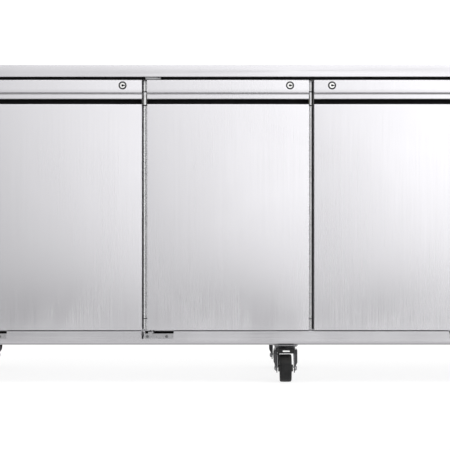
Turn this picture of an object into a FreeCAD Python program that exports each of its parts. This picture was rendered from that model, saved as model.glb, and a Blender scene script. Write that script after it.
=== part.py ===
"""Three-door counter refrigerator on castors, with a refrigeration machine compartment at its right end.

The frame: X runs to the right as seen by someone facing the doors, Y runs from the doors to the back, and Z
runs up. The origin is on the floor under the middle of the cabinet. All sizes are in millimetres.
Every function returns the solids of one named piece, and main() writes one STEP file for each.
"""

import FreeCAD, Part
import math
import os

V = FreeCAD.Vector

# Overall size
WIDTH = 1865.0
DEPTH = 700.0
HEIGHT = 860.0
SHEET = 1.2  # stainless sheet of the casing

# Levels, from the floor up
BASE_Z = 102.6  # underside of the cabinet, on top of the castor plates
RAIL_TOP = 140.0
DOOR_BOTTOM = 143.0
DOOR_TOP = 820.0
WORKTOP_Z = 827.3  # underside of the worktop
BAND_BOTTOM = 782.0  # lower edge of the door's top band, which carries the lock
LIP_BOTTOM = 767.0  # lower edge of the lip that the fingers pull
LIP_TOP = 780.0  # leaves a narrow dark groove under the band
PANEL_TOP = 754.4  # upper edge of the door's main panel

# Planes, from the front to the back
WORKTOP_FRONT = -DEPTH / 2
DOOR_FRONT = -345.0
RAIL_FRONT = -342.0
DOOR_BACK = -299.0
FRAME_FRONT = -285.0
FRAME_BACK = -265.0
LINER_BACK = 285.0
CASING_BACK = 345.0

# Doors
DOOR_WIDTH = 437.5
DOOR_GAP = 14.4
DOOR_SHEET = 1.0
INNER_SHEET = 1.5
CASING_X = WIDTH / 2 - 2.0  # outer face of each side panel
END_POST = 68.6  # width of the post beside the first door
DOOR_LEFTS = [-CASING_X + END_POST + DOOR_GAP + i * (DOOR_WIDTH + DOOR_GAP) for i in range(3)]
HINGE_LEFT = [True, True, False]
PIVOT_INSET = 12.0  # hinge axis from the door's edge
PIVOT_Y = DOOR_FRONT + 20.0
PIN_R = 4.0
BUSH_BORE_R = 4.05
BUSH_R = 7.5
LOWER_SCREWS = (1.0, 53.0)  # hinge bracket screws from the door's hinge edge
LOWER_SCREW_Z = 125.5
UPPER_SCREWS = (7.0, 29.0)
UPPER_SCREW_Z = 814.5
GASKET_INSET = 14.0
GASKET_WIDTH = 16.0
TRIM_GAP = 1.5  # from the middle door's edge to the strip beside it
TRIM_WIDTH = 8.0
OPENING_INSET = 35.0  # edge of the cabinet's opening from the door's edge
POCKET_BACK = -318.0  # back wall of the finger pocket
LIP_Y = DOOR_FRONT + 5.0
TOP_FOLD_R = 4.0  # of the upper edges of the door's panel and band
SIDE_FOLD_R = 1.5
BAND_CURL = 4.5  # height of the band's curled lower edge
FOAM_GAP = 0.3  # extra radius of the foam inside a fold

# Locks
LOCK_INSETS = [52.0, 51.2, 48.3]  # lock axis from each door's free edge
LOCK_Z = 804.3
PLUG_R = 8.0
PLUG_BORE_R = 8.06
CAM_LENGTH = 20.0
CAM_FRONT = -318.0
CAM_THICK = 3.0
BARREL_R = 9.6
RING_R = 11.6
RING_STAND = 2.0  # ring in front of the door's face

# Storage space
LINER_LEFT = -850.0
LINER_RIGHT = 575.0
LINER_FLOOR = 172.0
LINER_TOP = 787.0
OPENING_BOTTOM = DOOR_BOTTOM + OPENING_INSET
OPENING_TOP = DOOR_TOP - OPENING_INSET
PARTITION_X = 619.0
SHELF_LEVELS = [370.0, 575.0]
SHELF_ROD_R = 3.0
SHELF_END = 459.0  # right end of the last shelf, beside the evaporator's cover
SHELF_WIRE_R = 1.6
POST_THICK = 8.0

# Castors, with the axle behind the plate's centre by the trail
PLATE_X = 67.0
PLATE_Y = 95.0
PLATE_THICK = 3.0
WHEEL_R = 37.5
WHEEL_WIDTH = 32.0
TRAIL = 28.0
AXLE_R = 4.0
AXLE_BORE_R = 4.1
PEDAL_PIVOT = (-24.0, 80.0)  # y from the plate's centre, and z
CASTORS = {
    "front_left": (-890.0, -275.0),
    "front_middle": (-20.0, -275.0),
    "front_right": (890.0, -275.0),
    "rear_left": (-890.0, 285.0),
    "rear_middle": (-20.0, 285.0),
    "rear_right": (890.0, 285.0),
}

# Machine compartment
MACHINE_LEFT = DOOR_LEFTS[2] + DOOR_WIDTH + DOOR_GAP
MACHINE_X = 757.0  # middle of the compartment
COND_FAN_Y = -150.0
COND_FAN_Z = 300.0
COND_FAN_R = 92.0
PANEL_SCREW_X = [MACHINE_LEFT + 14, CASING_X - SHEET - 15]
PANEL_BACK = -300.0
CONTROLLER_Z = 745.0
EVAP_FAN_X = 487.0
EVAP_FAN_Y = 20.0
EVAP_FAN_Z = 560.0
EVAP_FAN_R = 70.0


def box(x0, x1, y0, y1, z0, z1):
    return Part.makeBox(x1 - x0, y1 - y0, z1 - z0, V(x0, y0, z0))


def cylinder(start, direction, length, radius):
    return Part.makeCylinder(radius, length, V(*start), V(*direction))


def rod_x(x0, x1, y, z, r):
    return cylinder((x0, y, z), (1, 0, 0), x1 - x0, r)


def rod_y(x, y0, y1, z, r):
    return cylinder((x, y0, z), (0, 1, 0), y1 - y0, r)


def rod_z(x, y, z0, z1, r):
    return cylinder((x, y, z0), (0, 0, 1), z1 - z0, r)


def prism(points, direction):
    """A closed outline of (x, y, z) points, pushed along a vector."""
    corners = [V(*p) for p in points]
    return Part.Face(Part.makePolygon(corners + corners[:1])).extrude(V(*direction))


def prism_x(outline, x0, x1):
    """An outline of (y, z) points, from x0 to x1."""
    return prism([(x0, y, z) for y, z in outline], (x1 - x0, 0, 0))


def fuse(shapes):
    return shapes[0].multiFuse(shapes[1:]).removeSplitter()


def hexagon(x, y, z, axis, radius, height):
    """A hexagon bolt head whose base is centred on the point, growing along the axis."""
    corners = [V(radius * math.cos(a * math.pi / 3), radius * math.sin(a * math.pi / 3), 0) for a in range(7)]
    head = Part.Face(Part.makePolygon(corners)).extrude(V(0, 0, height))
    head.Placement = FreeCAD.Placement(V(x, y, z), FreeCAD.Rotation(V(0, 0, 1), V(*axis)))
    return head


def screw_y(x, y, z, length=10.0, radius=4.0):
    """A pan-head screw with a cross slot, its head standing forward of the plane y."""
    head = rod_y(x, y - 2.0, y, z, radius)
    head = head.makeFillet(0.9, [head.Edges[i] for i in range(len(head.Edges))
                                 if abs(head.Edges[i].BoundBox.YMax - (y - 2.0)) < 1e-6])
    slot = fuse([box(x - 2.4, x + 2.4, y - 2.2, y - 1.0, z - 0.5, z + 0.5),
                 box(x - 0.5, x + 0.5, y - 2.2, y - 1.0, z - 2.4, z + 2.4)])
    return fuse([head.cut(slot), rod_y(x, y, y + length, z, 1.9)])


# Doors are drawn with the hinge at the left and their left edge at x = 0, and then put in place.


def in_place(shape, door):
    """Puts a shape drawn for the left-hinged pattern at a door, mirrored if that door hinges at the right."""
    if not HINGE_LEFT[door]:
        shape = shape.mirror(V(DOOR_WIDTH / 2, 0, 0), V(1, 0, 0))
    placed = shape.copy()
    placed.translate(V(DOOR_LEFTS[door], 0, 0))
    return placed


def lock_x(door):
    return DOOR_WIDTH - LOCK_INSETS[door]


def lock_pocket(door):
    """The room behind the door's top band where the lock's cam turns."""
    x = lock_x(door)
    return box(x - 26, x + 26, DOOR_FRONT + DOOR_SHEET, -311, 787, 819)


def band_face(inset):
    """The (y, z) points of the band's face, inset by a distance, from the top fold to the curled lower edge."""
    y, top, low = DOOR_FRONT + inset, DOOR_TOP - inset, BAND_BOTTOM + inset
    fold, curl, reach = TOP_FOLD_R - inset, BAND_CURL - inset, LIP_Y - DOOR_SHEET - DOOR_FRONT - inset
    turns = [math.radians(a) for a in range(0, 91, 15)]
    return ([(y + fold * (1 - math.sin(a)), top - fold * (1 - math.cos(a))) for a in turns]
            + [(y + reach * (1 - math.cos(a)), low + curl * (1 - math.sin(a))) for a in turns])


def fold_top(block, level, radius):
    """Rounds the long front edge of a block at a level."""
    front = block.BoundBox.YMin
    return block.makeFillet(radius, [e for e in block.Edges if e.BoundBox.XLength > 100
                                     and abs(e.BoundBox.Center.z - level) < 1e-6
                                     and abs(e.BoundBox.YMax - front) < 1e-6])


def door_skin(door):
    """The main panel, the top band, the pull lip clipped on under it, and the lock's bezel with its barrel."""
    s = DOOR_SHEET
    w = DOOR_WIDTH
    lock = lock_x(door)
    back = DOOR_BACK - INNER_SHEET
    tray = fold_top(box(0, w, DOOR_FRONT, back, DOOR_BOTTOM, PANEL_TOP), PANEL_TOP, TOP_FOLD_R)
    tray = tray.makeFillet(SIDE_FOLD_R, [e for e in tray.Edges if abs(e.BoundBox.YMax - DOOR_FRONT) < 1e-6
                                         and (e.BoundBox.ZLength > 100 or e.BoundBox.ZMax < DOOR_BOTTOM + 1)])
    inside = box(s, w - s, DOOR_FRONT + s, back + 1, DOOR_BOTTOM + s, PANEL_TOP - s)
    tray = tray.cut(fold_top(inside, PANEL_TOP - s, TOP_FOLD_R - s))
    tray = tray.cut(box(-1, w + 1, -338, back + 1, PANEL_TOP - s - 0.5, PANEL_TOP + 1))
    tray = tray.cut(rod_z(PIVOT_INSET, PIVOT_Y, DOOR_BOTTOM - 1, DOOR_BOTTOM + 3, BUSH_R))
    lip = [(LIP_Y - s, LIP_BOTTOM + 1.5), (LIP_Y - s + 0.5, LIP_BOTTOM), (LIP_Y + 1.5, LIP_BOTTOM),
           (LIP_Y + 2.0, LIP_BOTTOM + 1.5), (LIP_Y + 2.0, LIP_BOTTOM + 4.0), (LIP_Y, LIP_BOTTOM + 5.0),
           (LIP_Y, LIP_TOP), (LIP_Y - s, LIP_TOP)]
    lip = prism_x(lip, 0, w)
    under = [(POCKET_BACK + 2, BAND_BOTTOM), (POCKET_BACK + 2, BAND_BOTTOM + s)]
    band = prism_x([(back, DOOR_TOP)] + band_face(0.0) + under + band_face(s)[::-1] + [(back, DOOR_TOP - s)], 0, w)
    cheek = band_face(s) + [(back, BAND_BOTTOM + s), (back, DOOR_TOP - s)]
    band = fuse([band] + [prism_x(cheek, x, x + s) for x in (0, w - s)])
    band = band.cut(rod_z(PIVOT_INSET, PIVOT_Y, DOOR_TOP - 3, DOOR_TOP + 1, BUSH_R))
    band = band.cut(box(lock - 8, lock + 18, CAM_FRONT - 1.2, CAM_FRONT + CAM_THICK + 1.2,
                        DOOR_TOP - 2, DOOR_TOP + 1))
    band = band.cut(rod_y(lock, DOOR_FRONT - 1, DOOR_FRONT + 3, LOCK_Z, BARREL_R))
    ring = rod_y(lock, DOOR_FRONT - RING_STAND, DOOR_FRONT, LOCK_Z, RING_R)
    rim = [e for e in ring.Edges if abs(e.BoundBox.YMax - (DOOR_FRONT - RING_STAND)) < 1e-6]
    ring = ring.makeFillet(1.0, rim)
    barrel = fuse([ring, rod_y(lock, DOOR_FRONT, -325, LOCK_Z, BARREL_R)])
    barrel = barrel.cut(rod_y(lock, DOOR_FRONT - 3, -320, LOCK_Z, PLUG_BORE_R))
    return [in_place(p, door) for p in (tray, band, lip, barrel)]


def door_handle_channel(door):
    """The black moulding that lines the finger pocket behind the lip, with its closed ends."""
    w = DOOR_WIDTH
    floor_z = PANEL_TOP - 1.5
    outer = box(0, w, -338, POCKET_BACK + 2, floor_z, BAND_BOTTOM)
    front_top = box(0, w, LIP_Y + 0.05, -337, BAND_BOTTOM - 4, BAND_BOTTOM)
    channel = fuse([outer, front_top]).cut(box(2, w - 2, -339, POCKET_BACK, floor_z + 1.5, BAND_BOTTOM - 2))
    mouth = box(2, w - 2, -346, -330, floor_z + 1.5, BAND_BOTTOM - 4)
    return [in_place(channel.cut(mouth), door)]


def door_foam(door):
    s = DOOR_SHEET
    w = DOOR_WIDTH
    block = box(s, w - s, DOOR_FRONT + s, DOOR_BACK - INNER_SHEET, DOOR_BOTTOM + s, DOOR_TOP - s)
    block = block.cut(box(0, w, DOOR_FRONT, POCKET_BACK + 2, PANEL_TOP - 1.5, BAND_BOTTOM + s))
    folds = ((PANEL_TOP - 1.5, TOP_FOLD_R), (BAND_BOTTOM + s, BAND_CURL), (DOOR_TOP - s, TOP_FOLD_R))
    for level, radius in folds:
        block = fold_top(block, level, radius - s + FOAM_GAP)
    block = fuse([block, door_bulge(INNER_SHEET)])
    block = block.cut(lock_pocket(door))
    for z0, z1 in ((DOOR_BOTTOM, DOOR_BOTTOM + 20), (DOOR_TOP - 24, DOOR_TOP)):
        block = block.cut(rod_z(PIVOT_INSET, PIVOT_Y, z0, z1, BUSH_R))
    return [in_place(block, door)]


def door_bulge(inset):
    """The raised middle of the door's inside face, or the same shape one sheet smaller."""
    edge = 45 + inset
    top = DOOR_BACK + 9 - inset
    raised = box(edge, DOOR_WIDTH - edge, DOOR_BACK - INNER_SHEET, top, DOOR_BOTTOM + edge, DOOR_TOP - edge)
    return raised.makeChamfer(6, [e for e in raised.Edges if abs(e.BoundBox.YMin - top) < 1e-6])


def door_inner_panel(door):
    """The pressed inside face of the door, with a raised middle that the gasket runs around."""
    flange = box(0, DOOR_WIDTH, DOOR_BACK - INNER_SHEET, DOOR_BACK, DOOR_BOTTOM, DOOR_TOP)
    return [in_place(fuse([flange, door_bulge(0.0)]).cut(door_bulge(INNER_SHEET)), door)]


def ring_of(inset, width, y0, y1):
    """A rectangular ring as wide as the door less the inset all round."""
    a, b = inset, inset + width
    outer = box(a, DOOR_WIDTH - a, y0, y1, DOOR_BOTTOM + a, DOOR_TOP - a)
    return outer.cut(box(b, DOOR_WIDTH - b, y0 - 1, y1 + 1, DOOR_BOTTOM + b, DOOR_TOP - b))


def door_gasket(door):
    """The magnetic gasket: a foot on the door, a narrower bellows, and the sealing bulb."""
    foot = ring_of(GASKET_INSET, GASKET_WIDTH, DOOR_BACK, DOOR_BACK + 4)
    bellows = ring_of(GASKET_INSET + 3, GASKET_WIDTH - 6, DOOR_BACK + 4, DOOR_BACK + 7)
    bulb = ring_of(GASKET_INSET, GASKET_WIDTH, DOOR_BACK + 7, FRAME_FRONT - 0.5)
    return [in_place(fuse([foot, bellows, bulb]), door)]


def door_hinge_bushes(door):
    bushes = []
    for z0, z1 in ((DOOR_BOTTOM, DOOR_BOTTOM + 20), (DOOR_TOP - 24, DOOR_TOP)):
        sleeve = rod_z(PIVOT_INSET, PIVOT_Y, z0, z1, BUSH_R)
        bushes.append(in_place(sleeve.cut(rod_z(PIVOT_INSET, PIVOT_Y, z0 - 1, z1 + 1, BUSH_BORE_R)), door))
    return bushes


def lock_plug(door):
    """The turning part of the lock: the keyed plug, its stem and the cam, which lies level when unlocked."""
    x = lock_x(door)
    plug = rod_y(x, DOOR_FRONT - 1.4, -322, LOCK_Z, PLUG_R)
    stem = rod_y(x, -322, CAM_FRONT + CAM_THICK, LOCK_Z, 4.0)
    arm = box(x, x + CAM_LENGTH, CAM_FRONT, CAM_FRONT + CAM_THICK, LOCK_Z - 6, LOCK_Z + 6)
    heel = rod_y(x, CAM_FRONT, CAM_FRONT + CAM_THICK, LOCK_Z, 6.0)
    turned = in_place(fuse([plug, stem, arm, heel]), door)
    axis_x = DOOR_LEFTS[door] + (x if HINGE_LEFT[door] else DOOR_WIDTH - x)
    keyway = fuse([box(axis_x, axis_x + 5.6, DOOR_FRONT - 2, DOOR_FRONT + 5, LOCK_Z - 0.8, LOCK_Z + 0.8),
                   rod_y(axis_x, DOOR_FRONT - 2, DOOR_FRONT + 5, LOCK_Z, 2.2)])
    return [turned.cut(keyway)]


# Cabinet


def worktop():
    """The folded stainless top: a tray with turned-down edges and short returns underneath."""
    x, y = WIDTH / 2, DEPTH / 2
    block = box(-x, x, -y, y, WORKTOP_Z, HEIGHT)
    rounded = [e for e in block.Edges if e.BoundBox.ZMin > WORKTOP_Z + 1 and e.BoundBox.ZLength < 1e-6]
    corners = [e for e in block.Edges if e.BoundBox.ZLength > 10]
    block = block.makeFillet(4.5, rounded + corners)
    lower = [e for e in block.Edges if e.BoundBox.ZMax < WORKTOP_Z + 1e-3]
    block = block.makeFillet(2.5, lower)
    hollow = box(-x + SHEET, x - SHEET, -y + SHEET, y - SHEET, WORKTOP_Z + SHEET, HEIGHT - SHEET)
    hollow = hollow.makeFillet(3.3, [e for e in hollow.Edges if e.BoundBox.ZMin > WORKTOP_Z + 10
                                     or e.BoundBox.ZLength > 10])
    hole = box(-x + 70, x - 70, -y + 70, y - 70, WORKTOP_Z - 1, WORKTOP_Z + 2)
    return [block.cut(hollow).cut(hole)]


def side_panels():
    """The left panel, whose front edge is folded round into the end post, and the right panel."""
    x, s = CASING_X, SHEET
    left = box(-x, -x + s, RAIL_FRONT, CASING_BACK, BASE_Z, WORKTOP_Z)
    face = box(-x + s, -x + END_POST, RAIL_FRONT, RAIL_FRONT + s, RAIL_TOP, WORKTOP_Z)
    inner = box(-x + END_POST - s, -x + END_POST, RAIL_FRONT + s, FRAME_FRONT, RAIL_TOP, WORKTOP_Z)
    right = box(x - s, x, RAIL_FRONT, CASING_BACK, BASE_Z, WORKTOP_Z)
    return [fuse([left, face, inner]), right]


def back_panel():
    """The rear sheet, with the machine compartment's vent slots, and the supply cable's gland."""
    x = CASING_X - SHEET
    sheet = box(-x, x, CASING_BACK - SHEET, CASING_BACK, BASE_Z + SHEET, WORKTOP_Z)
    slots = []
    for i in range(14):
        z = 330 + i * 28.0
        slots.append(box(660, 850, CASING_BACK - 3, CASING_BACK + 1, z, z + 9))
    gland_x, gland_z = 700.0, 180.0
    sheet = sheet.cut(fuse(slots)).cut(rod_y(gland_x, CASING_BACK - 3, CASING_BACK + 1, gland_z, 8.0))
    nut = hexagon(gland_x, CASING_BACK, gland_z, (0, 1, 0), 10.5, 3.5)
    gland = fuse([nut, rod_y(gland_x, CASING_BACK - 12, CASING_BACK + 4.9, gland_z, 8.0)])
    return [sheet, gland.cut(rod_y(gland_x, CASING_BACK - 13, CASING_BACK + 6, gland_z, 4.5))]


def base_pan():
    """The floor of the cabinet, and the tray on it where the meltwater evaporates."""
    x = CASING_X - SHEET
    pan = box(-x, x, FRAME_FRONT, CASING_BACK, BASE_Z, BASE_Z + SHEET)
    tray = box(650, 860, -60, 60, BASE_Z + SHEET, BASE_Z + 31)
    return [pan, tray.cut(box(652, 858, -58, 58, BASE_Z + 3.2, BASE_Z + 32))]


def foam_insulation():
    """The five slabs round the storage space, and the core of the worktop."""
    left = -CASING_X + SHEET
    floor = BASE_Z + SHEET
    back = CASING_BACK - SHEET
    x, y = WIDTH / 2 - SHEET, DEPTH / 2 - SHEET
    core = box(-x + 3, x - 3, -y + 3, y - 3, WORKTOP_Z + SHEET, HEIGHT - SHEET - 3)
    return [
        box(left, PARTITION_X, LINER_BACK + 1, back, floor, WORKTOP_Z),
        box(left, PARTITION_X, FRAME_BACK, LINER_BACK + 1, floor, LINER_FLOOR - 1),
        box(left, PARTITION_X, FRAME_BACK, LINER_BACK + 1, LINER_TOP + 1, WORKTOP_Z),
        box(left, LINER_LEFT - 1, FRAME_BACK, LINER_BACK + 1, LINER_FLOOR - 1, LINER_TOP + 1),
        box(LINER_RIGHT + 1, PARTITION_X, FRAME_BACK, LINER_BACK + 1, LINER_FLOOR - 1, LINER_TOP + 1),
        core,
    ]


def inner_liner():
    """The sheets that line the storage space: floor, ceiling, back and two ends."""
    l, r, f, b = LINER_LEFT, LINER_RIGHT, FRAME_BACK, LINER_BACK
    return [
        box(l - 1, r + 1, f, b + 1, LINER_FLOOR - 1, LINER_FLOOR),
        box(l - 1, r + 1, f, b + 1, LINER_TOP, LINER_TOP + 1),
        box(l, r, b, b + 1, LINER_FLOOR, LINER_TOP),
        box(l - 1, l, f, b + 1, LINER_FLOOR, LINER_TOP),
        box(r, r + 1, f, b + 1, LINER_FLOOR, LINER_TOP),
    ]


def opening_edges(door):
    left = DOOR_LEFTS[door] + OPENING_INSET
    return left, left + DOOR_WIDTH - 2 * OPENING_INSET


def front_frame():
    """The bars and mullions that the gaskets close on, the partition, and the machine panel's posts."""
    left, right = -CASING_X + SHEET, PARTITION_X
    edges = [opening_edges(i) for i in range(3)]
    bars = [box(left, right, FRAME_FRONT, FRAME_BACK, OPENING_TOP, WORKTOP_Z),
            box(left, right, FRAME_FRONT, FRAME_BACK, BASE_Z + SHEET, OPENING_BOTTOM),
            box(left, edges[0][0], FRAME_FRONT, FRAME_BACK, OPENING_BOTTOM, OPENING_TOP),
            box(edges[2][1], right, FRAME_FRONT, FRAME_BACK, OPENING_BOTTOM, OPENING_TOP)]
    mullions = [box(edges[i][1], edges[i + 1][0], FRAME_FRONT, FRAME_BACK + 15, OPENING_BOTTOM, OPENING_TOP)
                for i in range(2)]
    partition = box(PARTITION_X, PARTITION_X + 1, FRAME_FRONT, CASING_BACK - SHEET, BASE_Z + SHEET, WORKTOP_Z)
    posts = []
    for x, outer in zip(PANEL_SCREW_X, (PANEL_SCREW_X[0] + 12, CASING_X - SHEET)):
        post = box(x - 12, outer, PANEL_BACK + 0.5, FRAME_FRONT, RAIL_TOP, WORKTOP_Z)
        for z in (z for screw_x, z in panel_screws() if screw_x == x):
            post = post.cut(rod_y(x, PANEL_BACK, FRAME_FRONT + 1, z, 1.9))
        posts.append(post)
    return bars + mullions + [partition] + posts


def trim_strips():
    """The strips in the gaps between the doors, the one under the worktop, and the hinge pockets' back walls.

    Each gap strip is in lengths, with a deeper spacer beside the handles, and stands nearer the middle door.
    """
    strips = []
    for left in (DOOR_LEFTS[1] - TRIM_GAP - TRIM_WIDTH, DOOR_LEFTS[1] + DOOR_WIDTH + TRIM_GAP):
        for z0, z1, front in ((143.0, 171.0, -304.0), (173.0, 745.5, -304.0), (747.5, 784.0, -306.0),
                              (786.0, 820.0, -304.0)):
            strip = box(left, left + TRIM_WIDTH, front, FRAME_FRONT, z0, z1)
            strips.append(strip.makeFillet(1.5, [e for e in strip.Edges if abs(e.BoundBox.YMax - front) < 1e-6
                                                 and e.BoundBox.ZLength > 5]))
    header = box(-CASING_X + END_POST + 1, CASING_X - SHEET - 0.5, -334, -330, 821.2, WORKTOP_Z)
    for i in range(3):
        header = header.cut(in_place(box(-5.5, 37.5, -338, -325, 820, WORKTOP_Z + 1), i))
        strips.append(in_place(box(-6.3, 71.8, -303, -301, 112, 138.3), i))
    return strips + header.Solids


def bottom_front_rail():
    """The folded channel under the doors, notched for the hinges."""
    s = 1.5
    front, back, low, high = RAIL_FRONT, FRAME_FRONT, BASE_Z, RAIL_TOP
    x = CASING_X - SHEET
    solid = box(-x, x, front, back, low, high)
    for level, radius in ((low, 9.0), (high, 2.0)):
        solid = solid.makeFillet(radius, [e for e in solid.Edges if e.BoundBox.XLength > 100
                                          and abs(e.BoundBox.YMax - front) < 1e-6
                                          and abs(e.BoundBox.Center.z - level) < 1e-6])
    inside = box(-x - 1, x + 1, front + s, back + 1, low + s, high - s)
    inside = inside.makeFillet(7.5, [e for e in inside.Edges if abs(e.BoundBox.YMax - (front + s)) < 1e-6
                                     and e.BoundBox.ZMax < low + s + 1e-3 and e.BoundBox.XLength > 100])
    rail = solid.cut(inside)
    for i in range(3):
        pocket = box(-6.5, 72, front - 1, -303, 133.5, high + 1)
        slot = prism([(-15, front - 1, high + 1), (-8.9, front - 1, high + 1), (-8.9, front - 1, 126),
                      (-10.5, front - 1, 119), (-13.6, front - 1, 118), (-15, front - 1, 123)], (0, 18, 0))
        rail = rail.cut(in_place(pocket, i)).cut(in_place(slot, i))
    return [rail]


def hinge_brackets():
    """For each door the lower and upper brackets, each with its pin."""
    found = []
    for i in range(3):
        plate = box(-8, 71, RAIL_FRONT - 2.5, RAIL_FRONT, 119.5, 133.5)
        plate = plate.makeFillet(3.0, [e for e in plate.Edges if e.BoundBox.YLength > 2])
        tab = box(2.8, 13.3, RAIL_FRONT - 2.5, -320, 133.5, 138)
        lower = fuse([plate, tab, rod_z(PIVOT_INSET, PIVOT_Y, 133.5, 138, 6.5)])
        for x in LOWER_SCREWS:
            lower = lower.cut(rod_y(x, RAIL_FRONT - 4, RAIL_FRONT + 1, LOWER_SCREW_Z, 1.9))
        lower_pin = rod_z(PIVOT_INSET, PIVOT_Y, 138, 160, PIN_R)
        arm = box(-4.5, 36.3, PIVOT_Y - 12, FRAME_FRONT, 821.2, 824.7)
        leg = box(-1, 36.3, FRAME_FRONT - 3, FRAME_FRONT, 808.5, 821.2)
        lips = [box(x0, x1, PIVOT_Y - 12, PIVOT_Y - 8, 824.7, WORKTOP_Z - 0.2)
                for x0, x1 in ((-4.5, 29.5), (32.5, 36.3))]
        upper = fuse([arm, leg] + lips)
        for x in UPPER_SCREWS:
            upper = upper.cut(rod_y(x, FRAME_FRONT - 4, FRAME_FRONT + 1, UPPER_SCREW_Z, 1.9))
        upper_pin = rod_z(PIVOT_INSET, PIVOT_Y, 799, 821.2, PIN_R)
        found += [in_place(p, i) for p in (fuse([lower, lower_pin]), fuse([upper, upper_pin]))]
    return found


def lock_keepers():
    """The catch plates under the worktop that the lock cams turn up behind."""
    keepers = []
    for i in range(3):
        x = lock_x(i)
        leg = box(x - 14, x + 20, CAM_FRONT - 3.5, FRAME_FRONT - 12, WORKTOP_Z - 1.5, WORKTOP_Z)
        tab = box(x - 14, x + 20, CAM_FRONT - 3.5, CAM_FRONT - 2.0, 821.0, WORKTOP_Z - 1.5)
        keepers += [in_place(leg, i), in_place(tab, i)]
    return keepers


def shelf_spans():
    """The left and right ends of the shelf behind each door."""
    seams = [DOOR_LEFTS[i] + DOOR_WIDTH + DOOR_GAP / 2 for i in range(2)]
    h = POST_THICK / 2
    return [(LINER_LEFT + POST_THICK, seams[0] - h), (seams[0] + h, seams[1] - h), (seams[1] + h, SHELF_END)]


def shelf_supports():
    """Slotted uprights at the ends of the shelves, with the clips that the shelves rest on."""
    pieces = []
    spans = shelf_spans()
    edges = [(spans[0][0] - POST_THICK, [(1, spans[0][0])]),
             (spans[0][1], [(-1, spans[0][1]), (1, spans[1][0])]),
             (spans[1][1], [(-1, spans[1][1]), (1, spans[2][0])]),
             (spans[2][1], [(-1, spans[2][1])])]
    for x0, sides in edges:
        for y in (-215.0, 235.0):
            post = box(x0, x0 + POST_THICK, y - 12, y + 12, LINER_FLOOR, LINER_TOP)
            slots = [box(x0 - 1, x0 + POST_THICK + 1, y - 3.5, y + 3.5, z, z + 10)
                     for z in (200 + 41.0 * n for n in range(14))]
            pieces.append(post.cut(Part.makeCompound(slots)))
            for level in SHELF_LEVELS:
                for sign, x in sides:
                    clip = box(min(x, x + sign * 9), max(x, x + sign * 9), y - 8, y + 8,
                               level - SHELF_ROD_R - 3, level - SHELF_ROD_R)
                    pieces.append(clip)
    return pieces


def wire_shelf(x0, x1, level):
    """A round-rod frame with wires from front to back and three cross rods."""
    a, b = x0 + 2.5 + SHELF_ROD_R, x1 - 2.5 - SHELF_ROD_R
    front, back = -243.0, 270.0
    rods = [rod_x(a, b, y, level, SHELF_ROD_R) for y in (front, back)]
    rods += [rod_y(x, front, back, level, SHELF_ROD_R) for x in (a, b)]
    rods += [Part.makeSphere(SHELF_ROD_R, V(x, y, level)) for x in (a, b) for y in (front, back)]
    rods += [rod_x(a, b, y, level, 2.2) for y in (-120.0, 10.0, 140.0)]
    count = 15
    for n in range(1, count):
        x = a + (b - a) * n / count
        rods.append(rod_y(x, front, back, level + 1.6, SHELF_WIRE_R))
    return fuse(rods)


def wire_shelves():
    return [wire_shelf(x0, x1, level) for x0, x1 in shelf_spans() for level in SHELF_LEVELS]


# Refrigeration


def coil_block(x0, x1, y0, y1, z0, z1, fin_pitch, along):
    """A finned coil: a comb of fins on a core, the fins side by side along the given axis."""
    core = box(x0, x1, y0, y1, z0, z1)
    cuts = []
    if along == "x":
        n = int((x1 - x0 - 6) / fin_pitch)
        for i in range(1, n):
            x = x0 + 3 + i * fin_pitch
            cuts.append(box(x - 1.5, x + 1.5, y0 - 1, y0 + 5, z0 + 4, z1 - 4))
    else:
        n = int((y1 - y0 - 6) / fin_pitch)
        for i in range(1, n):
            y = y0 + 3 + i * fin_pitch
            cuts.append(box(x0 - 1, x0 + 5, y - 1.5, y + 1.5, z0 + 4, z1 - 4))
    return core.cut(Part.makeCompound(cuts))


def condenser_coil():
    body = coil_block(650, 864, -252, -206, 180, 420, 9.0, "x")
    frame = [box(645, 650, -256, -202, 175, 425), box(864, 869, -256, -202, 175, 425)]
    feet = [box(645, 650, -256, -202, BASE_Z + SHEET, 175), box(864, 869, -256, -202, BASE_Z + SHEET, 175)]
    return [fuse([body] + frame + feet)]


def evaporator_coil():
    body = coil_block(512, 556, -150, 190, 440, 680, 10.0, "y")
    plates = [box(510, 573, -154, -150, 436, 684), box(510, 573, 190, 194, 436, 684)]
    return [fuse([body] + plates)]


def evaporator_cover():
    """The box over the evaporator, with the fan's ring in its face and slots at its top and bottom."""
    x0, x1, y0, y1, z0, z1 = 468.0, LINER_RIGHT, -200.0, 240.0, 400.0, 740.0
    s = 1.5
    shell = box(x0, x1, y0, y1, z0, z1).cut(box(x0 + s, x1 + 1, y0 + s, y1 - s, z0 + s, z1 - s))
    shell = shell.cut(rod_x(x0 - 1, x0 + 3, EVAP_FAN_Y, EVAP_FAN_Z, EVAP_FAN_R + 6))
    for y in (-150, -60, 100, 190):
        shell = shell.cut(box(x0 + 20, x1 - 15, y - 30, y + 30, z1 - 3, z1 + 1))
        shell = shell.cut(box(x0 + 20, x1 - 15, y - 30, y + 30, z0 - 1, z0 + 3))
    outer = Part.makeTorus(EVAP_FAN_R + 8, 1.6, V(x0 - 1.6, EVAP_FAN_Y, EVAP_FAN_Z), V(1, 0, 0))
    rings = [outer]
    for radius in (20, 36, 52, 66):
        rings.append(Part.makeTorus(radius, 1.1, V(x0 - 1.6, EVAP_FAN_Y, EVAP_FAN_Z), V(1, 0, 0)))
    reach = EVAP_FAN_R + 8
    for a in range(4):
        spoke = cylinder((x0 - 1.6, EVAP_FAN_Y, EVAP_FAN_Z - reach), (0, 0, 1), 2 * reach, 1.3)
        spoke.rotate(V(x0, EVAP_FAN_Y, EVAP_FAN_Z), V(1, 0, 0), 45 * a)
        rings.append(spoke)
    return [shell, fuse(rings)]


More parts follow.
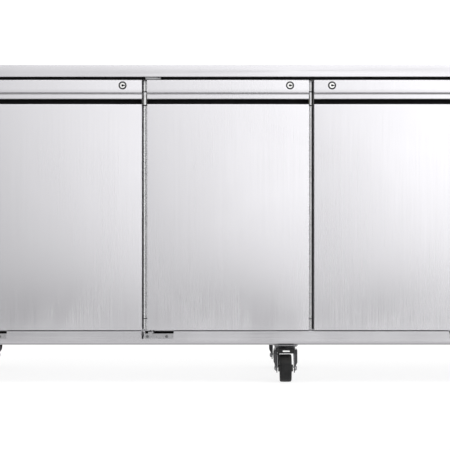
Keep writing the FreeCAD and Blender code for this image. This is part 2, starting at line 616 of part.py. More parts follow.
def fan(radius, hub_r, depth, blades=5):
    """Fan blades on a hub, turning about Z, the hub's base at z = 0."""
    hub = rod_z(0, 0, 0, depth, hub_r)
    hub = hub.makeFillet(2.0, [e for e in hub.Edges if e.BoundBox.ZMin > depth - 1e-6])
    shapes = [hub]
    for i in range(blades):
        blade = box(hub_r - 2, radius, -radius * 0.26, radius * 0.26, depth / 2 - 0.9, depth / 2 + 0.9)
        blade = blade.common(rod_z(0, 0, -50, 50, radius))
        tips = [e for e in blade.Edges if e.BoundBox.ZLength > 1 and e.BoundBox.XMin > radius * 0.7]
        blade = blade.makeFillet(radius * 0.12, tips)
        blade.rotate(V(radius / 2, 0, depth / 2), V(1, 0, 0), 24)
        blade.rotate(V(0, 0, 0), V(0, 0, 1), i * 360.0 / blades)
        shapes.append(blade)
    bore = rod_z(0, 0, -1, depth * 0.7, 3.06)
    return fuse(shapes).cut(bore)


def condenser_fan():
    shape = fan(COND_FAN_R, 20.0, 22.0)
    shape.rotate(V(0, 0, 0), V(1, 0, 0), 90)
    shape.translate(V(MACHINE_X, COND_FAN_Y, COND_FAN_Z))
    return [shape]


def evaporator_fan():
    shape = fan(EVAP_FAN_R, 17.0, 16.0)
    shape.rotate(V(0, 0, 0), V(0, 1, 0), -90)
    shape.translate(V(EVAP_FAN_X, EVAP_FAN_Y, EVAP_FAN_Z))
    return [shape]


def fan_motors():
    """The two fan motors on their brackets, each with a shaft that carries its blades."""
    y = COND_FAN_Y
    cond = [rod_y(MACHINE_X, y + 3, y + 62, COND_FAN_Z, 34), rod_y(MACHINE_X, y - 12, y + 3, COND_FAN_Z, 3.0)]
    cond += [box(652, 862, y + 62, y + 65, COND_FAN_Z - 14, COND_FAN_Z + 14)]
    cond += [box(x, x + 3, -202, y + 65, COND_FAN_Z - 14, COND_FAN_Z + 14) for x in (649, 862)]
    x = EVAP_FAN_X
    evap = [rod_x(x + 2, 508, EVAP_FAN_Y, EVAP_FAN_Z, 24), rod_x(x - 9, x + 2, EVAP_FAN_Y, EVAP_FAN_Z, 3.0)]
    evap += [box(504, 508, EVAP_FAN_Y - 4, EVAP_FAN_Y + 4, 401.5, 738.5)]
    return [fuse(cond), fuse(evap)]


def compressor():
    """A hermetic compressor: two drawn shells with a weld flange, on a foot plate with rubber mounts."""
    cx, cy, base = MACHINE_X, 190.0, BASE_Z + SHEET
    mounts = [rod_z(cx + dx, cy + dy, base, base + 14, 11) for dx in (-85, 85) for dy in (-52, 52)]
    plate = box(cx - 100, cx + 100, cy - 66, cy + 66, base + 14, base + 17)
    plate = plate.makeFillet(14, [e for e in plate.Edges if e.BoundBox.ZLength > 2.5])
    shell = box(cx - 92, cx + 92, cy - 70, cy + 70, base + 17, base + 178)
    shell = shell.makeFillet(62, [e for e in shell.Edges if e.BoundBox.ZLength > 50])
    shell = shell.makeFillet(30, [e for e in shell.Edges if e.BoundBox.ZMin > base + 177])
    shell = shell.makeFillet(12, [e for e in shell.Edges if e.BoundBox.ZMax < base + 17.5])
    flange = box(cx - 96, cx + 96, cy - 74, cy + 74, base + 96, base + 101)
    flange = flange.makeFillet(66, [e for e in flange.Edges if e.BoundBox.ZLength > 3])
    cover = box(cx - 28, cx + 28, cy - 104, cy - 66, base + 44, base + 88)
    cover = cover.makeFillet(4, cover.Edges)
    stubs = [rod_z(cx + dx, cy + dy, base + 170, base + 200, 4.0) for dx, dy in ((-46, 0), (46, 0))]
    return [fuse([shell, flange, plate, cover] + stubs)] + mounts


def pipe(points, radius, bend):
    """A tube along straight runs with a round bend at each inner point."""
    pts = [V(*p) for p in points]
    edges = []
    start = pts[0]
    for i in range(1, len(pts) - 1):
        a = (pts[i - 1] - pts[i]).normalize()
        b = (pts[i + 1] - pts[i]).normalize()
        half = a.getAngle(b) / 2
        back = bend / math.tan(half)
        p, q = pts[i] + a * back, pts[i] + b * back
        middle = pts[i] + (a + b).normalize() * (bend / math.sin(half) - bend)
        if (p - start).Length > 1e-6:
            edges.append(Part.LineSegment(start, p).toShape())
        edges.append(Part.Arc(p, middle, q).toShape())
        start = q
    edges.append(Part.LineSegment(start, pts[-1]).toShape())
    path = Part.Wire(edges)
    circle = Part.Wire([Part.Circle(pts[0], pts[1] - pts[0], radius).toShape()])
    return path.makePipeShell([circle], True, False)


def refrigerant_pipes():
    """The discharge line to the condenser, the liquid line with its filter drier, and the suction line."""
    cx, cy, top = MACHINE_X, 190.0, BASE_Z + SHEET + 200
    x = cx + 46
    discharge = pipe([(x, cy, top), (x, cy, 460), (x, -228, 460), (x, -228, 420)], 4.0, 16)
    liquid = pipe([(640, -228, 200), (632, -228, 200), (632, -120, 200), (632, -120, 330)], 3.0, 7)
    drier = cylinder((632, -120, 330), (0, 0, 1), 90, 9.0)
    drier = drier.makeFillet(5.0, [e for e in drier.Edges if e.BoundBox.ZLength < 1e-6])
    feed = pipe([(632, -120, 420), (632, -120, 600), (632, 60, 600), (PARTITION_X + 1, 60, 600)], 3.0, 7)
    suction = pipe([(PARTITION_X + 1, 130, 640), (cx - 46, 130, 640), (cx - 46, cy, 640), (cx - 46, cy, top)],
                   5.0, 16)
    stub = rod_x(640, 645, -228, 200, 3.0)
    return [discharge, fuse([liquid, stub]), drier, feed, suction]


def machine_front_panel():
    """The removable louvred panel in front of the machine compartment."""
    x0, x1 = MACHINE_LEFT, CASING_X - SHEET - 0.8
    s = SHEET
    tray = box(x0, x1, DOOR_FRONT, PANEL_BACK, DOOR_BOTTOM, DOOR_TOP)
    tray = tray.makeFillet(1.5, [e for e in tray.Edges if abs(e.BoundBox.YMax - DOOR_FRONT) < 1e-6])
    tray = tray.cut(box(x0 + s, x1 - s, DOOR_FRONT + s, PANEL_BACK + 1, DOOR_BOTTOM + s, DOOR_TOP - s))
    hoods = []
    slots = []
    for i in range(16):
        z = 190 + i * 26.0
        slots.append(box(x0 + 60, x1 - 60, DOOR_FRONT - 1, DOOR_FRONT + 3, z, z + 8))
        hood = prism_x([(DOOR_FRONT + s, z + 12), (DOOR_FRONT, z + 12), (DOOR_FRONT - 4, z + 4),
                        (DOOR_FRONT - 2.8, z + 3.6), (DOOR_FRONT + s, z + 10)], x0 + 58, x1 - 58)
        hoods.append(hood)
    tray = tray.cut(Part.makeCompound(slots)).cut(controller_recess())
    for x, z in panel_screws():
        tray = tray.cut(rod_y(x, DOOR_FRONT - 1, DOOR_FRONT + 3, z, 1.9))
    return [fuse([tray] + hoods)] + spacer_tubes()


def panel_screws():
    return [(x, z) for x in PANEL_SCREW_X for z in (DOOR_BOTTOM + 16, DOOR_TOP - 16)]


def spacer_tubes():
    """Tubes between the machine compartment's posts and its panel, round the panel's long screws."""
    y = DOOR_FRONT + SHEET
    return [rod_y(x, y, PANEL_BACK + 0.5, z, 4.0).cut(rod_y(x, y - 1, PANEL_BACK + 1, z, 1.9))
            for x, z in panel_screws()]


def controller_recess():
    cx, cz = (MACHINE_LEFT + CASING_X) / 2, CONTROLLER_Z
    return box(cx - 35.5, cx + 35.5, DOOR_FRONT - 5, -290, cz - 14.5, cz + 14.5)


def controller():
    """The electronic thermostat: a body through the panel, and a bezel with a window in it."""
    cx, cz = (MACHINE_LEFT + CASING_X) / 2, CONTROLLER_Z
    body = box(cx - 35, cx + 35, DOOR_FRONT, -292, cz - 14, cz + 14)
    bezel = box(cx - 38.5, cx + 38.5, DOOR_FRONT - 4, DOOR_FRONT, cz - 17, cz + 17)
    bezel = bezel.makeFillet(2.0, [e for e in bezel.Edges if e.BoundBox.YMax < DOOR_FRONT - 3.9])
    recess = box(cx - 33, cx + 33, DOOR_FRONT - 5, DOOR_FRONT - 3.2, cz - 12, cz + 12)
    return [fuse([body, bezel]).cut(recess)]


def fasteners():
    """Screws of the hinges and the front panel, and the bolts of the castor plates."""
    found = []
    for i in range(3):
        for x in LOWER_SCREWS:
            found.append(in_place(screw_y(x, RAIL_FRONT - 2.5, LOWER_SCREW_Z, 2.5), i))
        for x in UPPER_SCREWS:
            found.append(in_place(screw_y(x, FRAME_FRONT - 3, UPPER_SCREW_Z, 3.0), i))
    found += [screw_y(x, DOOR_FRONT, z, 50.0) for x, z in panel_screws()]
    for x, y in CASTORS.values():
        for dx in (-24.0, 24.0):
            for dy in (-38.0, 38.0):
                found.append(hexagon(x + dx, y + dy, BASE_Z - PLATE_THICK, (0, 0, -1), 6.5, 3.0))
    return found


# Castors


def castor_plates():
    """The six top plates, each with the fixed ring of its swivel bearing."""
    plates = []
    for x, y in CASTORS.values():
        half_x, half_y = PLATE_X / 2, PLATE_Y / 2
        plate = box(x - half_x, x + half_x, y - half_y, y + half_y, BASE_Z - PLATE_THICK, BASE_Z)
        plate = plate.makeFillet(6, [e for e in plate.Edges if e.BoundBox.ZLength > 2])
        ring = rod_z(x, y, 96.9, BASE_Z - PLATE_THICK, 29)
        plates.append(fuse([plate, ring]))
    return plates


def leg_outline(inset):
    """Side view of a fork leg, (y, z), from the crown down to the rounded end at the axle."""
    r = 13.0 - inset
    cy, cz = -TRAIL, WHEEL_R
    points = [(30 - inset, 88 - inset), (26 - inset, 70)]
    for step in range(0, 9):
        a = math.radians(-20 - step * 20)
        points.append((cy + r * math.cos(a), cz + r * math.sin(a)))
    points += [(-34 + inset, 70), (-34 + inset, 88 - inset)]
    return points


def castor_fork(x, y):
    """The swivelling fork: crown, bearing drum and two flanged legs, with the axle bolt between them."""
    parts = [box(-32, 32, -34, 30, 84, 88), rod_z(0, 0, 88, 96.6, 26)]
    parts[0] = parts[0].makeFillet(12, [e for e in parts[0].Edges if e.BoundBox.ZLength > 3])
    taper = prism([(32, -80, 62), (35, -80, 62), (35, -80, 20), (25.5, -80, 20), (25.5, -80, 30)], (0, 120, 0))
    for sign in (-1, 1):
        whole = prism_x(leg_outline(0.0), 22.5, 32.0)
        hollow = prism_x(leg_outline(2.5), 25.0, 33.0)
        leg = whole.cut(hollow).cut(taper).cut(rod_x(20, 34, -TRAIL, WHEEL_R, AXLE_R))
        leg = leg.cut(rod_x(20, 34, *PEDAL_PIVOT, 2.5))
        parts.append(leg if sign > 0 else leg.mirror(V(0, 0, 0), V(1, 0, 0)))
    fork = fuse(parts)
    bolt = rod_x(-28, 25, -TRAIL, WHEEL_R, AXLE_R)
    head = hexagon(25, -TRAIL, WHEEL_R, (1, 0, 0), 7.5, 5.0)
    nut = hexagon(-25, -TRAIL, WHEEL_R, (-1, 0, 0), 7.0, 5.5)
    shapes = [fork, fuse([bolt, head, nut])]
    return [moved(s, x, y) for s in shapes]


def castor_wheel(x, y):
    """A solid wheel: rounded tread, dished sides and a hub bored for the axle."""
    half = WHEEL_WIDTH / 2
    tyre = rod_x(-half, half, -TRAIL, WHEEL_R, WHEEL_R)
    tyre = tyre.makeFillet(2.5, [e for e in tyre.Edges if e.BoundBox.XLength < 1e-3])
    for x0, x1 in ((-half - 1, -half + 6), (half - 6, half + 1)):
        groove = rod_x(x0, x1, -TRAIL, WHEEL_R, 27).cut(rod_x(x0 - 1, x1 + 1, -TRAIL, WHEEL_R, 12))
        tyre = tyre.cut(groove)
    hub = rod_x(-20, 20, -TRAIL, WHEEL_R, 9.5)
    wheel = fuse([tyre, hub]).cut(rod_x(-30, 30, -TRAIL, WHEEL_R, AXLE_BORE_R))
    return [moved(wheel, x, y)]


def castor_pedal(x, y):
    """The brake pedal over the wheel, hinged on a pin between the fork's legs."""
    py, pz = PEDAL_PIVOT
    outline = [(-19, 76.6), (-19, 82.5), (-27, 82.5), (-35.5, 80.5), (-38, 90), (-46, 90), (-48, 93), (-63, 93),
               (-67, 90), (-68, 80), (-66, 77.5), (-44, 76.6)]
    lever = prism_x(outline, -21.5, 21.5)
    nose = [e for e in lever.Edges if e.BoundBox.XLength > 40 and e.BoundBox.YMax < -60]
    lever = lever.makeFillet(1.5, nose)
    lever = lever.cut(rod_x(-30, 30, py, pz, 2.55))
    return [moved(lever, x, y)]


def moved(shape, x, y):
    placed = shape.copy()
    placed.translate(V(x, y, 0))
    return placed


def pedal_pins(x, y):
    return [moved(rod_x(-25, 25, *PEDAL_PIVOT, 2.5), x, y)]


def main():
    os.makedirs("parts", exist_ok=True)
    pieces = {
        "worktop": worktop(),
        "side_panels": side_panels(),
        "back_panel": back_panel(),
        "base_pan": base_pan(),
        "foam_insulation": foam_insulation(),
        "inner_liner": inner_liner(),
        "front_frame": front_frame(),
        "trim_strips": trim_strips(),
        "bottom_front_rail": bottom_front_rail(),
        "hinge_brackets_and_keepers": hinge_brackets() + lock_keepers(),
        "fasteners": fasteners(),
        "shelf_supports": shelf_supports(),
        "wire_shelves": wire_shelves(),
        "evaporator_coil": evaporator_coil(),
        "evaporator_cover": evaporator_cover(),
        "evaporator_fan": evaporator_fan(),
        "condenser_coil": condenser_coil(),
        "condenser_fan": condenser_fan(),
        "fan_motors": fan_motors(),
        "compressor": compressor(),
        "refrigerant_pipes": refrigerant_pipes(),
        "machine_front_panel": machine_front_panel(),
        "controller": controller(),
        "castor_plates": castor_plates(),
    }
    for i in range(3):
        name = f"door_{i + 1}"
        pieces[name + "_skin"] = door_skin(i)
        pieces[name + "_handle_channel"] = door_handle_channel(i)
        pieces[name + "_foam"] = door_foam(i)
        pieces[name + "_inner_panel"] = door_inner_panel(i)
        pieces[name + "_gasket"] = door_gasket(i)
        pieces[name + "_hinge_bushes"] = door_hinge_bushes(i)
        pieces[f"lock_{i + 1}_plug"] = lock_plug(i)
    for name, (x, y) in CASTORS.items():
        pieces[f"castor_{name}_fork"] = castor_fork(x, y) + (pedal_pins(x, y) if "front" in name else [])
        pieces[f"castor_{name}_wheel"] = castor_wheel(x, y)
        if "front" in name:
            pieces[f"castor_{name}_brake_pedal"] = castor_pedal(x, y)
    for name, solids in pieces.items():
        for solid in solids:
            if not solid.isValid() or len(solid.Solids) != 1:
                print("check", name, solid.isValid(), len(solid.Solids))
        shape = solids[0] if len(solids) == 1 else Part.makeCompound(solids)
        shape.exportStep(f"parts/{name}.step")
    print(len(pieces), "pieces")


main()
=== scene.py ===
"""Looks of the three-door counter refrigerator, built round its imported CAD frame. Lengths are in metres."""

import bpy
import bmesh
import math
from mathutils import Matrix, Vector


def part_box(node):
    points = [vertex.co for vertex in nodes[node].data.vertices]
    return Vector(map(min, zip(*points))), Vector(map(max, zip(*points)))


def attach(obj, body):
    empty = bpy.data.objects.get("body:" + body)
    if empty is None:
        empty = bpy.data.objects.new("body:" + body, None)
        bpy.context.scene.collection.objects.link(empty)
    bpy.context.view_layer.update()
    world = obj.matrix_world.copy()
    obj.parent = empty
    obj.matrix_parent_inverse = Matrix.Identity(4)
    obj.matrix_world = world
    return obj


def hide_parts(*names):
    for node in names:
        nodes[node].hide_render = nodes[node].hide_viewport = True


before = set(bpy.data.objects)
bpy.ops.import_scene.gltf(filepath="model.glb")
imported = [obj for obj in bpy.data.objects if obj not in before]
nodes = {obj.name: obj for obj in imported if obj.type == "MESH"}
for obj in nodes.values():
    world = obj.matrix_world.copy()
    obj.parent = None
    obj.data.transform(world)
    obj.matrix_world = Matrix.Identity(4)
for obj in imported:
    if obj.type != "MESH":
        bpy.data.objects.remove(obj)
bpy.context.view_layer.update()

MM = 0.001
DOORS = (1, 2, 3)
LOCK_SIDES = {1: 1, 2: 1, 3: -1}  # the side of each door its lock is on; its hinges are on the other one
CASTORS = ("front_left", "front_middle", "front_right", "rear_left", "rear_middle", "rear_right")
BRAKED = CASTORS[:3]

# Door pattern, in mm from the door's own edges and front plane
CROWN = 4.2  # how far the middle of a door's face stands proud of its edges
CROWN_AT_ENDS = 0.7  # share of that at the face's top and bottom
RING_STAND = 2.0  # lock ring in front of the door's face
FACE_DEPTH = 6.0  # what lies this far behind the front plane stays flat
PANEL_HEIGHT = 611.4
BAND_HEIGHT = 38.0
LIP_HEIGHT = 14.5
GROOVE = 0.9  # height of the dark groove between the band and the lip
LIP_SET_BACK = 4.0
FOLD_RADIUS = 1.6
TOP_RADIUS = 4.0  # of the upper edges of the panel and of the band
TOP_FOLD = 6.6  # how far the panel's top is folded back
BAND_CURL = 3.8  # height of the slope at the band's lower edge
CURL_DEPTH = 0.62  # how far back the slope goes
CURL_TURN = 0.8  # radius of the bend below it
LIP_BACK = 3.0  # of the lip's flat back behind its face
LIP_FACE = ((0.0, 1.6), (0.12, 4.5), (0.17, 7.5), (0.18, 11.0))  # of the lip: back, and down from its top
SHEET = 1.0
PANEL_SHEET = 0.8
ACROSS = 28  # steps over a door's width
UP = 20  # steps over the panel's height

# Locks, in mm; the outlines and steps give radius and depth
RING_RIM = ((8.06, 12.0), (8.06, -1.5), (7.3, -1.5), (7.3, -1.8), (7.7, -2.0), (9.6, -2.0), (10.6, -1.7),
            (11.2, -1.0), (11.4, -0.2), (11.4, 1.2), (8.9, 1.2), (8.9, 12.0), (8.06, 12.0))
PLUG_R = 8.0
PLUG_STEPS = ((4.0, 24.4), (PLUG_R, 24.4), (PLUG_R, 0.7), (7.7, 0.25), (7.2, 0.0), (6.9, 0.0))
KEY_STEPS = ((0.0, 0.0), (0.15, 0.15), (0.2, 6.0))  # how much smaller the keyway gets, and at what depth
LOCK_HOLE = 7.9  # half of the opening in the band behind the ring
KEY_R = 3.2  # round part of the keyway
KEY_TAIL = 6.3  # how far its slot reaches
KEY_SLOT = 1.6  # half of the slot's height
KEY_DEPTH = 5.0  # of the keyway's black bottom, painted shade of its depth
CAM_REACH = 20.0
CAM_HALF = 6.0  # half of its height, and the radius of its heel
CAM_THICK = 3.0
STEM_R = 4.0
STEM_LENGTH = 7.0
CAM_SLOT = (8.0, 18.0)  # how far the slot for the cam in the band's top reaches to each side of the lock
CAM_ROOM = 1.2  # free space in that slot in front of the cam and behind it

GASKET_WIDTH = 16.0

# Strips between the doors, in mm: the levels of each length and its front plane
STRIP_GAP = 1.5
STRIP_WIDTHS = {-1: 10.0, 1: 8.0}  # of the left and of the right gap
STRIP_FRONT = -304.0
SPACER_FRONT = -306.0
STRIP_LENGTHS = ((143.0, 171.0, STRIP_FRONT), (173.0, 751.4, STRIP_FRONT), (754.2, 788.2, SPACER_FRONT),
                 (791.0, 820.0, STRIP_FRONT))
STRIP_RIB = 0.62  # share of a strip's width that is raised
SPACER_RIB = 0.8
BACKING_REACH = 12.8
BACKING_THICK = 0.8

# Strip above the doors and pockets of the lower hinges, in mm
HEADER_HEIGHT = 6.1
HEADER_THICK = 4.0
ARM_OPENING = (5.5, 37.5)  # how far a hinge arm's opening reaches outside and inside the door's edge
POCKET_WALL = (6.3, 71.8)  # the same for the black wall behind a lower hinge, painted shade of its pocket
POCKET_DEPTHS = (-303.0, -301.0)  # Y of its two faces
POCKET_LEVELS = (112.0, 138.3)

# Worktop, in mm
TOP_BEND = 4.0  # radius of its upper bend
UNDER_BEND = 2.0  # radius of its lower one
TOP_RETURN = 70.0  # width of the sheet turned in below
TOP_RING = 14.0  # inset of the ring that the flat face fills
TOP_SHEET = 1.2

# Castors, in mm from the swivel's axis and from the floor
TRAIL = 28.0  # from the swivel's axis forward to the axle
AXLE_UP = 37.5
AXLE_R = 4.0
PEDAL_PIN = (-24.0, 80.0)  # Y and Z
PEDAL_PIN_R = 2.5
CROWN_HALF = 32.0  # half the width of the plate over the legs
CROWN_DEPTHS = (-34.0, 30.0)
CROWN_CORNER = 12.0  # radius
CROWN_LEVELS = (84.0, 88.0)
LEG_TOP = 86.0
KNEE_UP = 70.0  # where the legs' edges bend
KNEE_BACK = 26.0
LEG_SLOPE = 41.8 / 36.9  # how far the legs' back edges run forward for each mm below the knee
LEG_END_R = 13.0
LEG_HEEL = 20.0  # angle below level where the leg's back edge meets its round end, in degrees
LEG_INSIDE = 22.5
LEG_OUTSIDE = 25.0
FLANGE_THICK = 2.5
FLANGE_END = 44.0  # height at which the flanges of the legs run out
FLANGE_TAPER = 9.0  # height over which they get narrower
FLANGE_LEFT = 0.3  # share of their width left at their end
FLANGE_LEVELS = (61.0, KNEE_UP, 78.0, LEG_TOP)  # of their cross-sections above that
HIGHLIGHT_LEVELS = (42.0, 57.0, 70.0, 74.0)  # of the painted highlight line down each leg
PEDAL_BAR = ((-9.0, 10.0), (-0.9, 1.5), (83.8, 87.4))  # pale bar: X from the middle, Y from the front, Z
PEDAL_HIGHLIGHT = ((3.0, 1.5), (0.3, 4.0), (77.6, 79.4))  # painted highlight strip along the lower edge: X in from each end, Y from the front, Z


# ---------------------------------------------------------------- materials


class Surface:
    """A Principled material whose colour, roughness and relief vary over the surface."""

    def __init__(self, name, colour, metallic=0.0, roughness=0.5, **sockets):
        self.material = bpy.data.materials.new(name)
        self.material.use_nodes = True
        self.tree = self.material.node_tree
        self.shader = self.tree.nodes["Principled BSDF"]
        self.colour = colour
        self.shader.inputs["Metallic"].default_value = metallic
        self.shader.inputs["Roughness"].default_value = roughness
        self.shader.inputs["Base Color"].default_value = (*colour, 1.0)
        for socket, value in sockets.items():
            self.shader.inputs[socket.replace("_", " ")].default_value = value
        self.coords = self.node("ShaderNodeTexCoord").outputs["Object"]
        self.normal = None

    def node(self, kind, **values):
        made = self.tree.nodes.new(kind)
        for key, value in values.items():
            if key in made.inputs:
                made.inputs[key].default_value = value
            else:
                setattr(made, key, value)
        return made

    def join(self, source, target):
        self.tree.links.new(source, target)

    def scaled(self, scale):
        mapping = self.node("ShaderNodeMapping")
        mapping.inputs["Scale"].default_value = scale
        self.join(self.coords, mapping.inputs["Vector"])
        return mapping.outputs["Vector"]

    def noise(self, scale, detail=3.0, roughness=0.55, distortion=0.0):
        """Noise of this many cells per metre along each axis, from 0 to 1."""
        made = self.node("ShaderNodeTexNoise", Scale=1.0, Detail=detail, Roughness=roughness,
                         Distortion=distortion)
        self.join(self.scaled(scale), made.inputs["Vector"])
        return made.outputs["Fac"]

    def cells(self, scale):
        made = self.node("ShaderNodeTexVoronoi", Scale=1.0)
        self.join(self.scaled(scale), made.inputs["Vector"])
        return made.outputs["Distance"]

    def remap(self, value, low, high, to_low, to_high):
        made = self.node("ShaderNodeMapRange")
        made.inputs["From Min"].default_value = low
        made.inputs["From Max"].default_value = high
        made.inputs["To Min"].default_value = to_low
        made.inputs["To Max"].default_value = to_high
        self.join(value, made.inputs["Value"])
        return made.outputs["Result"]

    def maths(self, operation, first, second):
        made = self.node("ShaderNodeMath", operation=operation)
        for value, socket in ((first, made.inputs[0]), (second, made.inputs[1])):
            if isinstance(value, (int, float)):
                socket.default_value = value
            else:
                self.join(value, socket)
        return made.outputs[0]

    def tint(self, fac, colour):
        """Lays another colour over the surface where fac is high."""
        mix = self.node("ShaderNodeMix", data_type="RGBA")
        base = self.shader.inputs["Base Color"]
        if base.is_linked:
            self.join(base.links[0].from_socket, mix.inputs["A"])
        else:
            mix.inputs["A"].default_value = (*self.colour, 1.0)
        mix.inputs["B"].default_value = (*colour, 1.0)
        self.join(fac, mix.inputs["Factor"])
        self.join(mix.outputs["Result"], base)

    def rough(self, value):
        self.join(value, self.shader.inputs["Roughness"])

    def relief(self, height, strength, distance):
        bump = self.node("ShaderNodeBump", Strength=strength, Distance=distance)
        self.join(height, bump.inputs["Height"])
        if self.normal is not None:
            self.join(self.normal, bump.inputs["Normal"])
        self.normal = bump.outputs["Normal"]
        self.join(self.normal, self.shader.inputs["Normal"])

    def dust(self, colour, amount):
        """A light dust on what faces up."""
        geometry = self.node("ShaderNodeNewGeometry")
        split = self.node("ShaderNodeSeparateXYZ")
        self.join(geometry.outputs["Normal"], split.inputs["Vector"])
        upward = self.remap(split.outputs["Z"], 0.35, 1.0, 0.0, amount)
        patches = self.remap(self.noise((30, 30, 30)), 0.35, 0.7, 0.35, 1.0)
        self.tint(self.maths("MULTIPLY", upward, patches), colour)


def brushed_steel(name, colour, grain, roughness=0.23, scratch=0.015, stretch=0.7, painted_shade_heights=None):
    """Stainless sheet with its grain along one axis, faint wiping marks and a few longer scratches.

    The last argument gives the two heights between which the sheet is darkened towards its bottom, a painted
    shade of its lower fold.
    """
    s = Surface(name, colour, metallic=1.0, roughness=roughness, Anisotropic=stretch)
    along = {"x": (4, 900, 900), "y": (900, 4, 900), "z": (900, 900, 4)}[grain]
    broad = {"x": (1.5, 160, 160), "y": (160, 1.5, 160), "z": (160, 160, 1.5)}[grain]
    scratches = {"x": (1.2, 700, 700), "y": (700, 1.2, 700), "z": (700, 700, 1.2)}[grain]
    fine = s.noise(along, detail=4.0, roughness=0.7)
    streaks = s.noise(broad, detail=3.0)
    smears = s.noise((3.2, 3.2, 2.4), detail=4.0, roughness=0.6, distortion=0.6)
    s.tint(s.remap(streaks, 0.3, 0.72, 0.0, 0.06), tuple(c * 0.78 for c in colour))
    s.tint(s.remap(smears, 0.45, 0.75, 0.0, 0.08), tuple(min(1.0, c * 1.12) for c in colour))
    # painted shade: the sheet darkens towards its bottom between the two given heights
    if painted_shade_heights:
        split = s.node("ShaderNodeSeparateXYZ")
        s.join(s.coords, split.inputs["Vector"])
        s.tint(s.remap(split.outputs["Z"], *painted_shade_heights, 0.0, 1.0), tuple(c * 0.5 for c in colour))
    base = s.remap(fine, 0.2, 0.8, roughness - 0.05, roughness + 0.06)
    s.rough(s.maths("ADD", base, s.remap(smears, 0.35, 0.75, -0.02, 0.05)))
    s.relief(fine, 0.03, 0.00012)
    s.relief(s.cells(scratches), scratch, 0.0001)
    tangent = s.node("ShaderNodeTangent", direction_type="RADIAL", axis="Y" if grain == "x" else "Z")
    s.join(tangent.outputs["Tangent"], s.shader.inputs["Tangent"])
    return s.material


def plated(name, colour, roughness=0.3):
    """Zinc or nickel plate: a slightly cloudy shine with small scratches and darker handling marks."""
    s = Surface(name, colour, metallic=1.0, roughness=roughness)
    cloud = s.noise((70, 70, 70), detail=4.0)
    s.tint(s.remap(cloud, 0.42, 0.68, 0.0, 0.45), tuple(c * 0.72 for c in colour))
    s.rough(s.remap(s.noise((240, 240, 240)), 0.3, 0.7, roughness - 0.08, roughness + 0.12))
    s.relief(s.noise((900, 900, 900), detail=2.0), 0.08, 0.0002)
    return s.material


def moulded(name, colour, roughness=0.45, grain=0.2, dust=0.0, shine=0.5):
    """Moulded plastic or rubber with a fine eroded grain and a worn sheen."""
    s = Surface(name, colour, roughness=roughness, Specular_IOR_Level=shine)
    worn = tuple(c * 1.7 + 0.004 for c in colour)
    s.tint(s.remap(s.noise((55, 55, 55), detail=5.0), 0.45, 0.75, 0.0, 0.5), worn)
    s.rough(s.remap(s.noise((130, 130, 130)), 0.3, 0.7, roughness - 0.07, roughness + 0.1))
    s.relief(s.cells((1600, 1600, 1600)), grain, 0.0002)
    s.relief(s.noise((400, 400, 400)), grain * 0.6, 0.0003)
    if dust:
        s.dust((0.32, 0.31, 0.29), dust)
    return s.material


def closed_foam(name, colour):
    """Cut polyurethane foam with its fine open cells."""
    s = Surface(name, colour, roughness=0.85)
    s.tint(s.remap(s.cells((260, 260, 260)), 0.1, 0.7, 0.0, 0.5), tuple(c * 0.7 for c in colour))
    s.relief(s.cells((380, 380, 380)), 0.6, 0.0008)
    return s.material


def sheet_fins(name, colour):
    """Bare aluminium fins with a few bent and dusty ones."""
    s = Surface(name, colour, metallic=0.9, roughness=0.38)
    s.tint(s.remap(s.noise((700, 700, 9), detail=2.0), 0.4, 0.7, 0.0, 0.7), tuple(c * 0.45 for c in colour))
    s.tint(s.remap(s.noise((14, 14, 14), detail=5.0), 0.5, 0.8, 0.0, 0.5), (0.25, 0.24, 0.22))
    s.relief(s.noise((1100, 1100, 14)), 0.5, 0.0005)
    return s.material


def drawn_copper(name, colour):
    """Copper tube, tarnished in patches."""
    s = Surface(name, colour, metallic=1.0, roughness=0.26)
    tarnish = s.noise((24, 24, 24), detail=5.0, distortion=0.8)
    s.tint(s.remap(tarnish, 0.45, 0.72, 0.0, 0.75), (0.22, 0.10, 0.055))
    s.rough(s.remap(tarnish, 0.35, 0.7, 0.2, 0.48))
    return s.material


def enamel(name, colour, roughness=0.3, dust=0.25):
    """Sprayed paint with orange peel and dust on its upper faces."""
    s = Surface(name, colour, roughness=roughness, Coat_Weight=0.25, Coat_Roughness=0.2)
    darker = tuple(c * 0.75 + 0.004 for c in colour)
    s.tint(s.remap(s.noise((18, 18, 18), detail=4.0), 0.45, 0.75, 0.0, 0.4), darker)
    s.rough(s.remap(s.noise((80, 80, 80)), 0.3, 0.7, roughness - 0.05, roughness + 0.12))
    s.relief(s.noise((420, 420, 420), detail=1.0), 0.12, 0.0004)
    s.dust((0.3, 0.29, 0.27), dust)
    return s.material


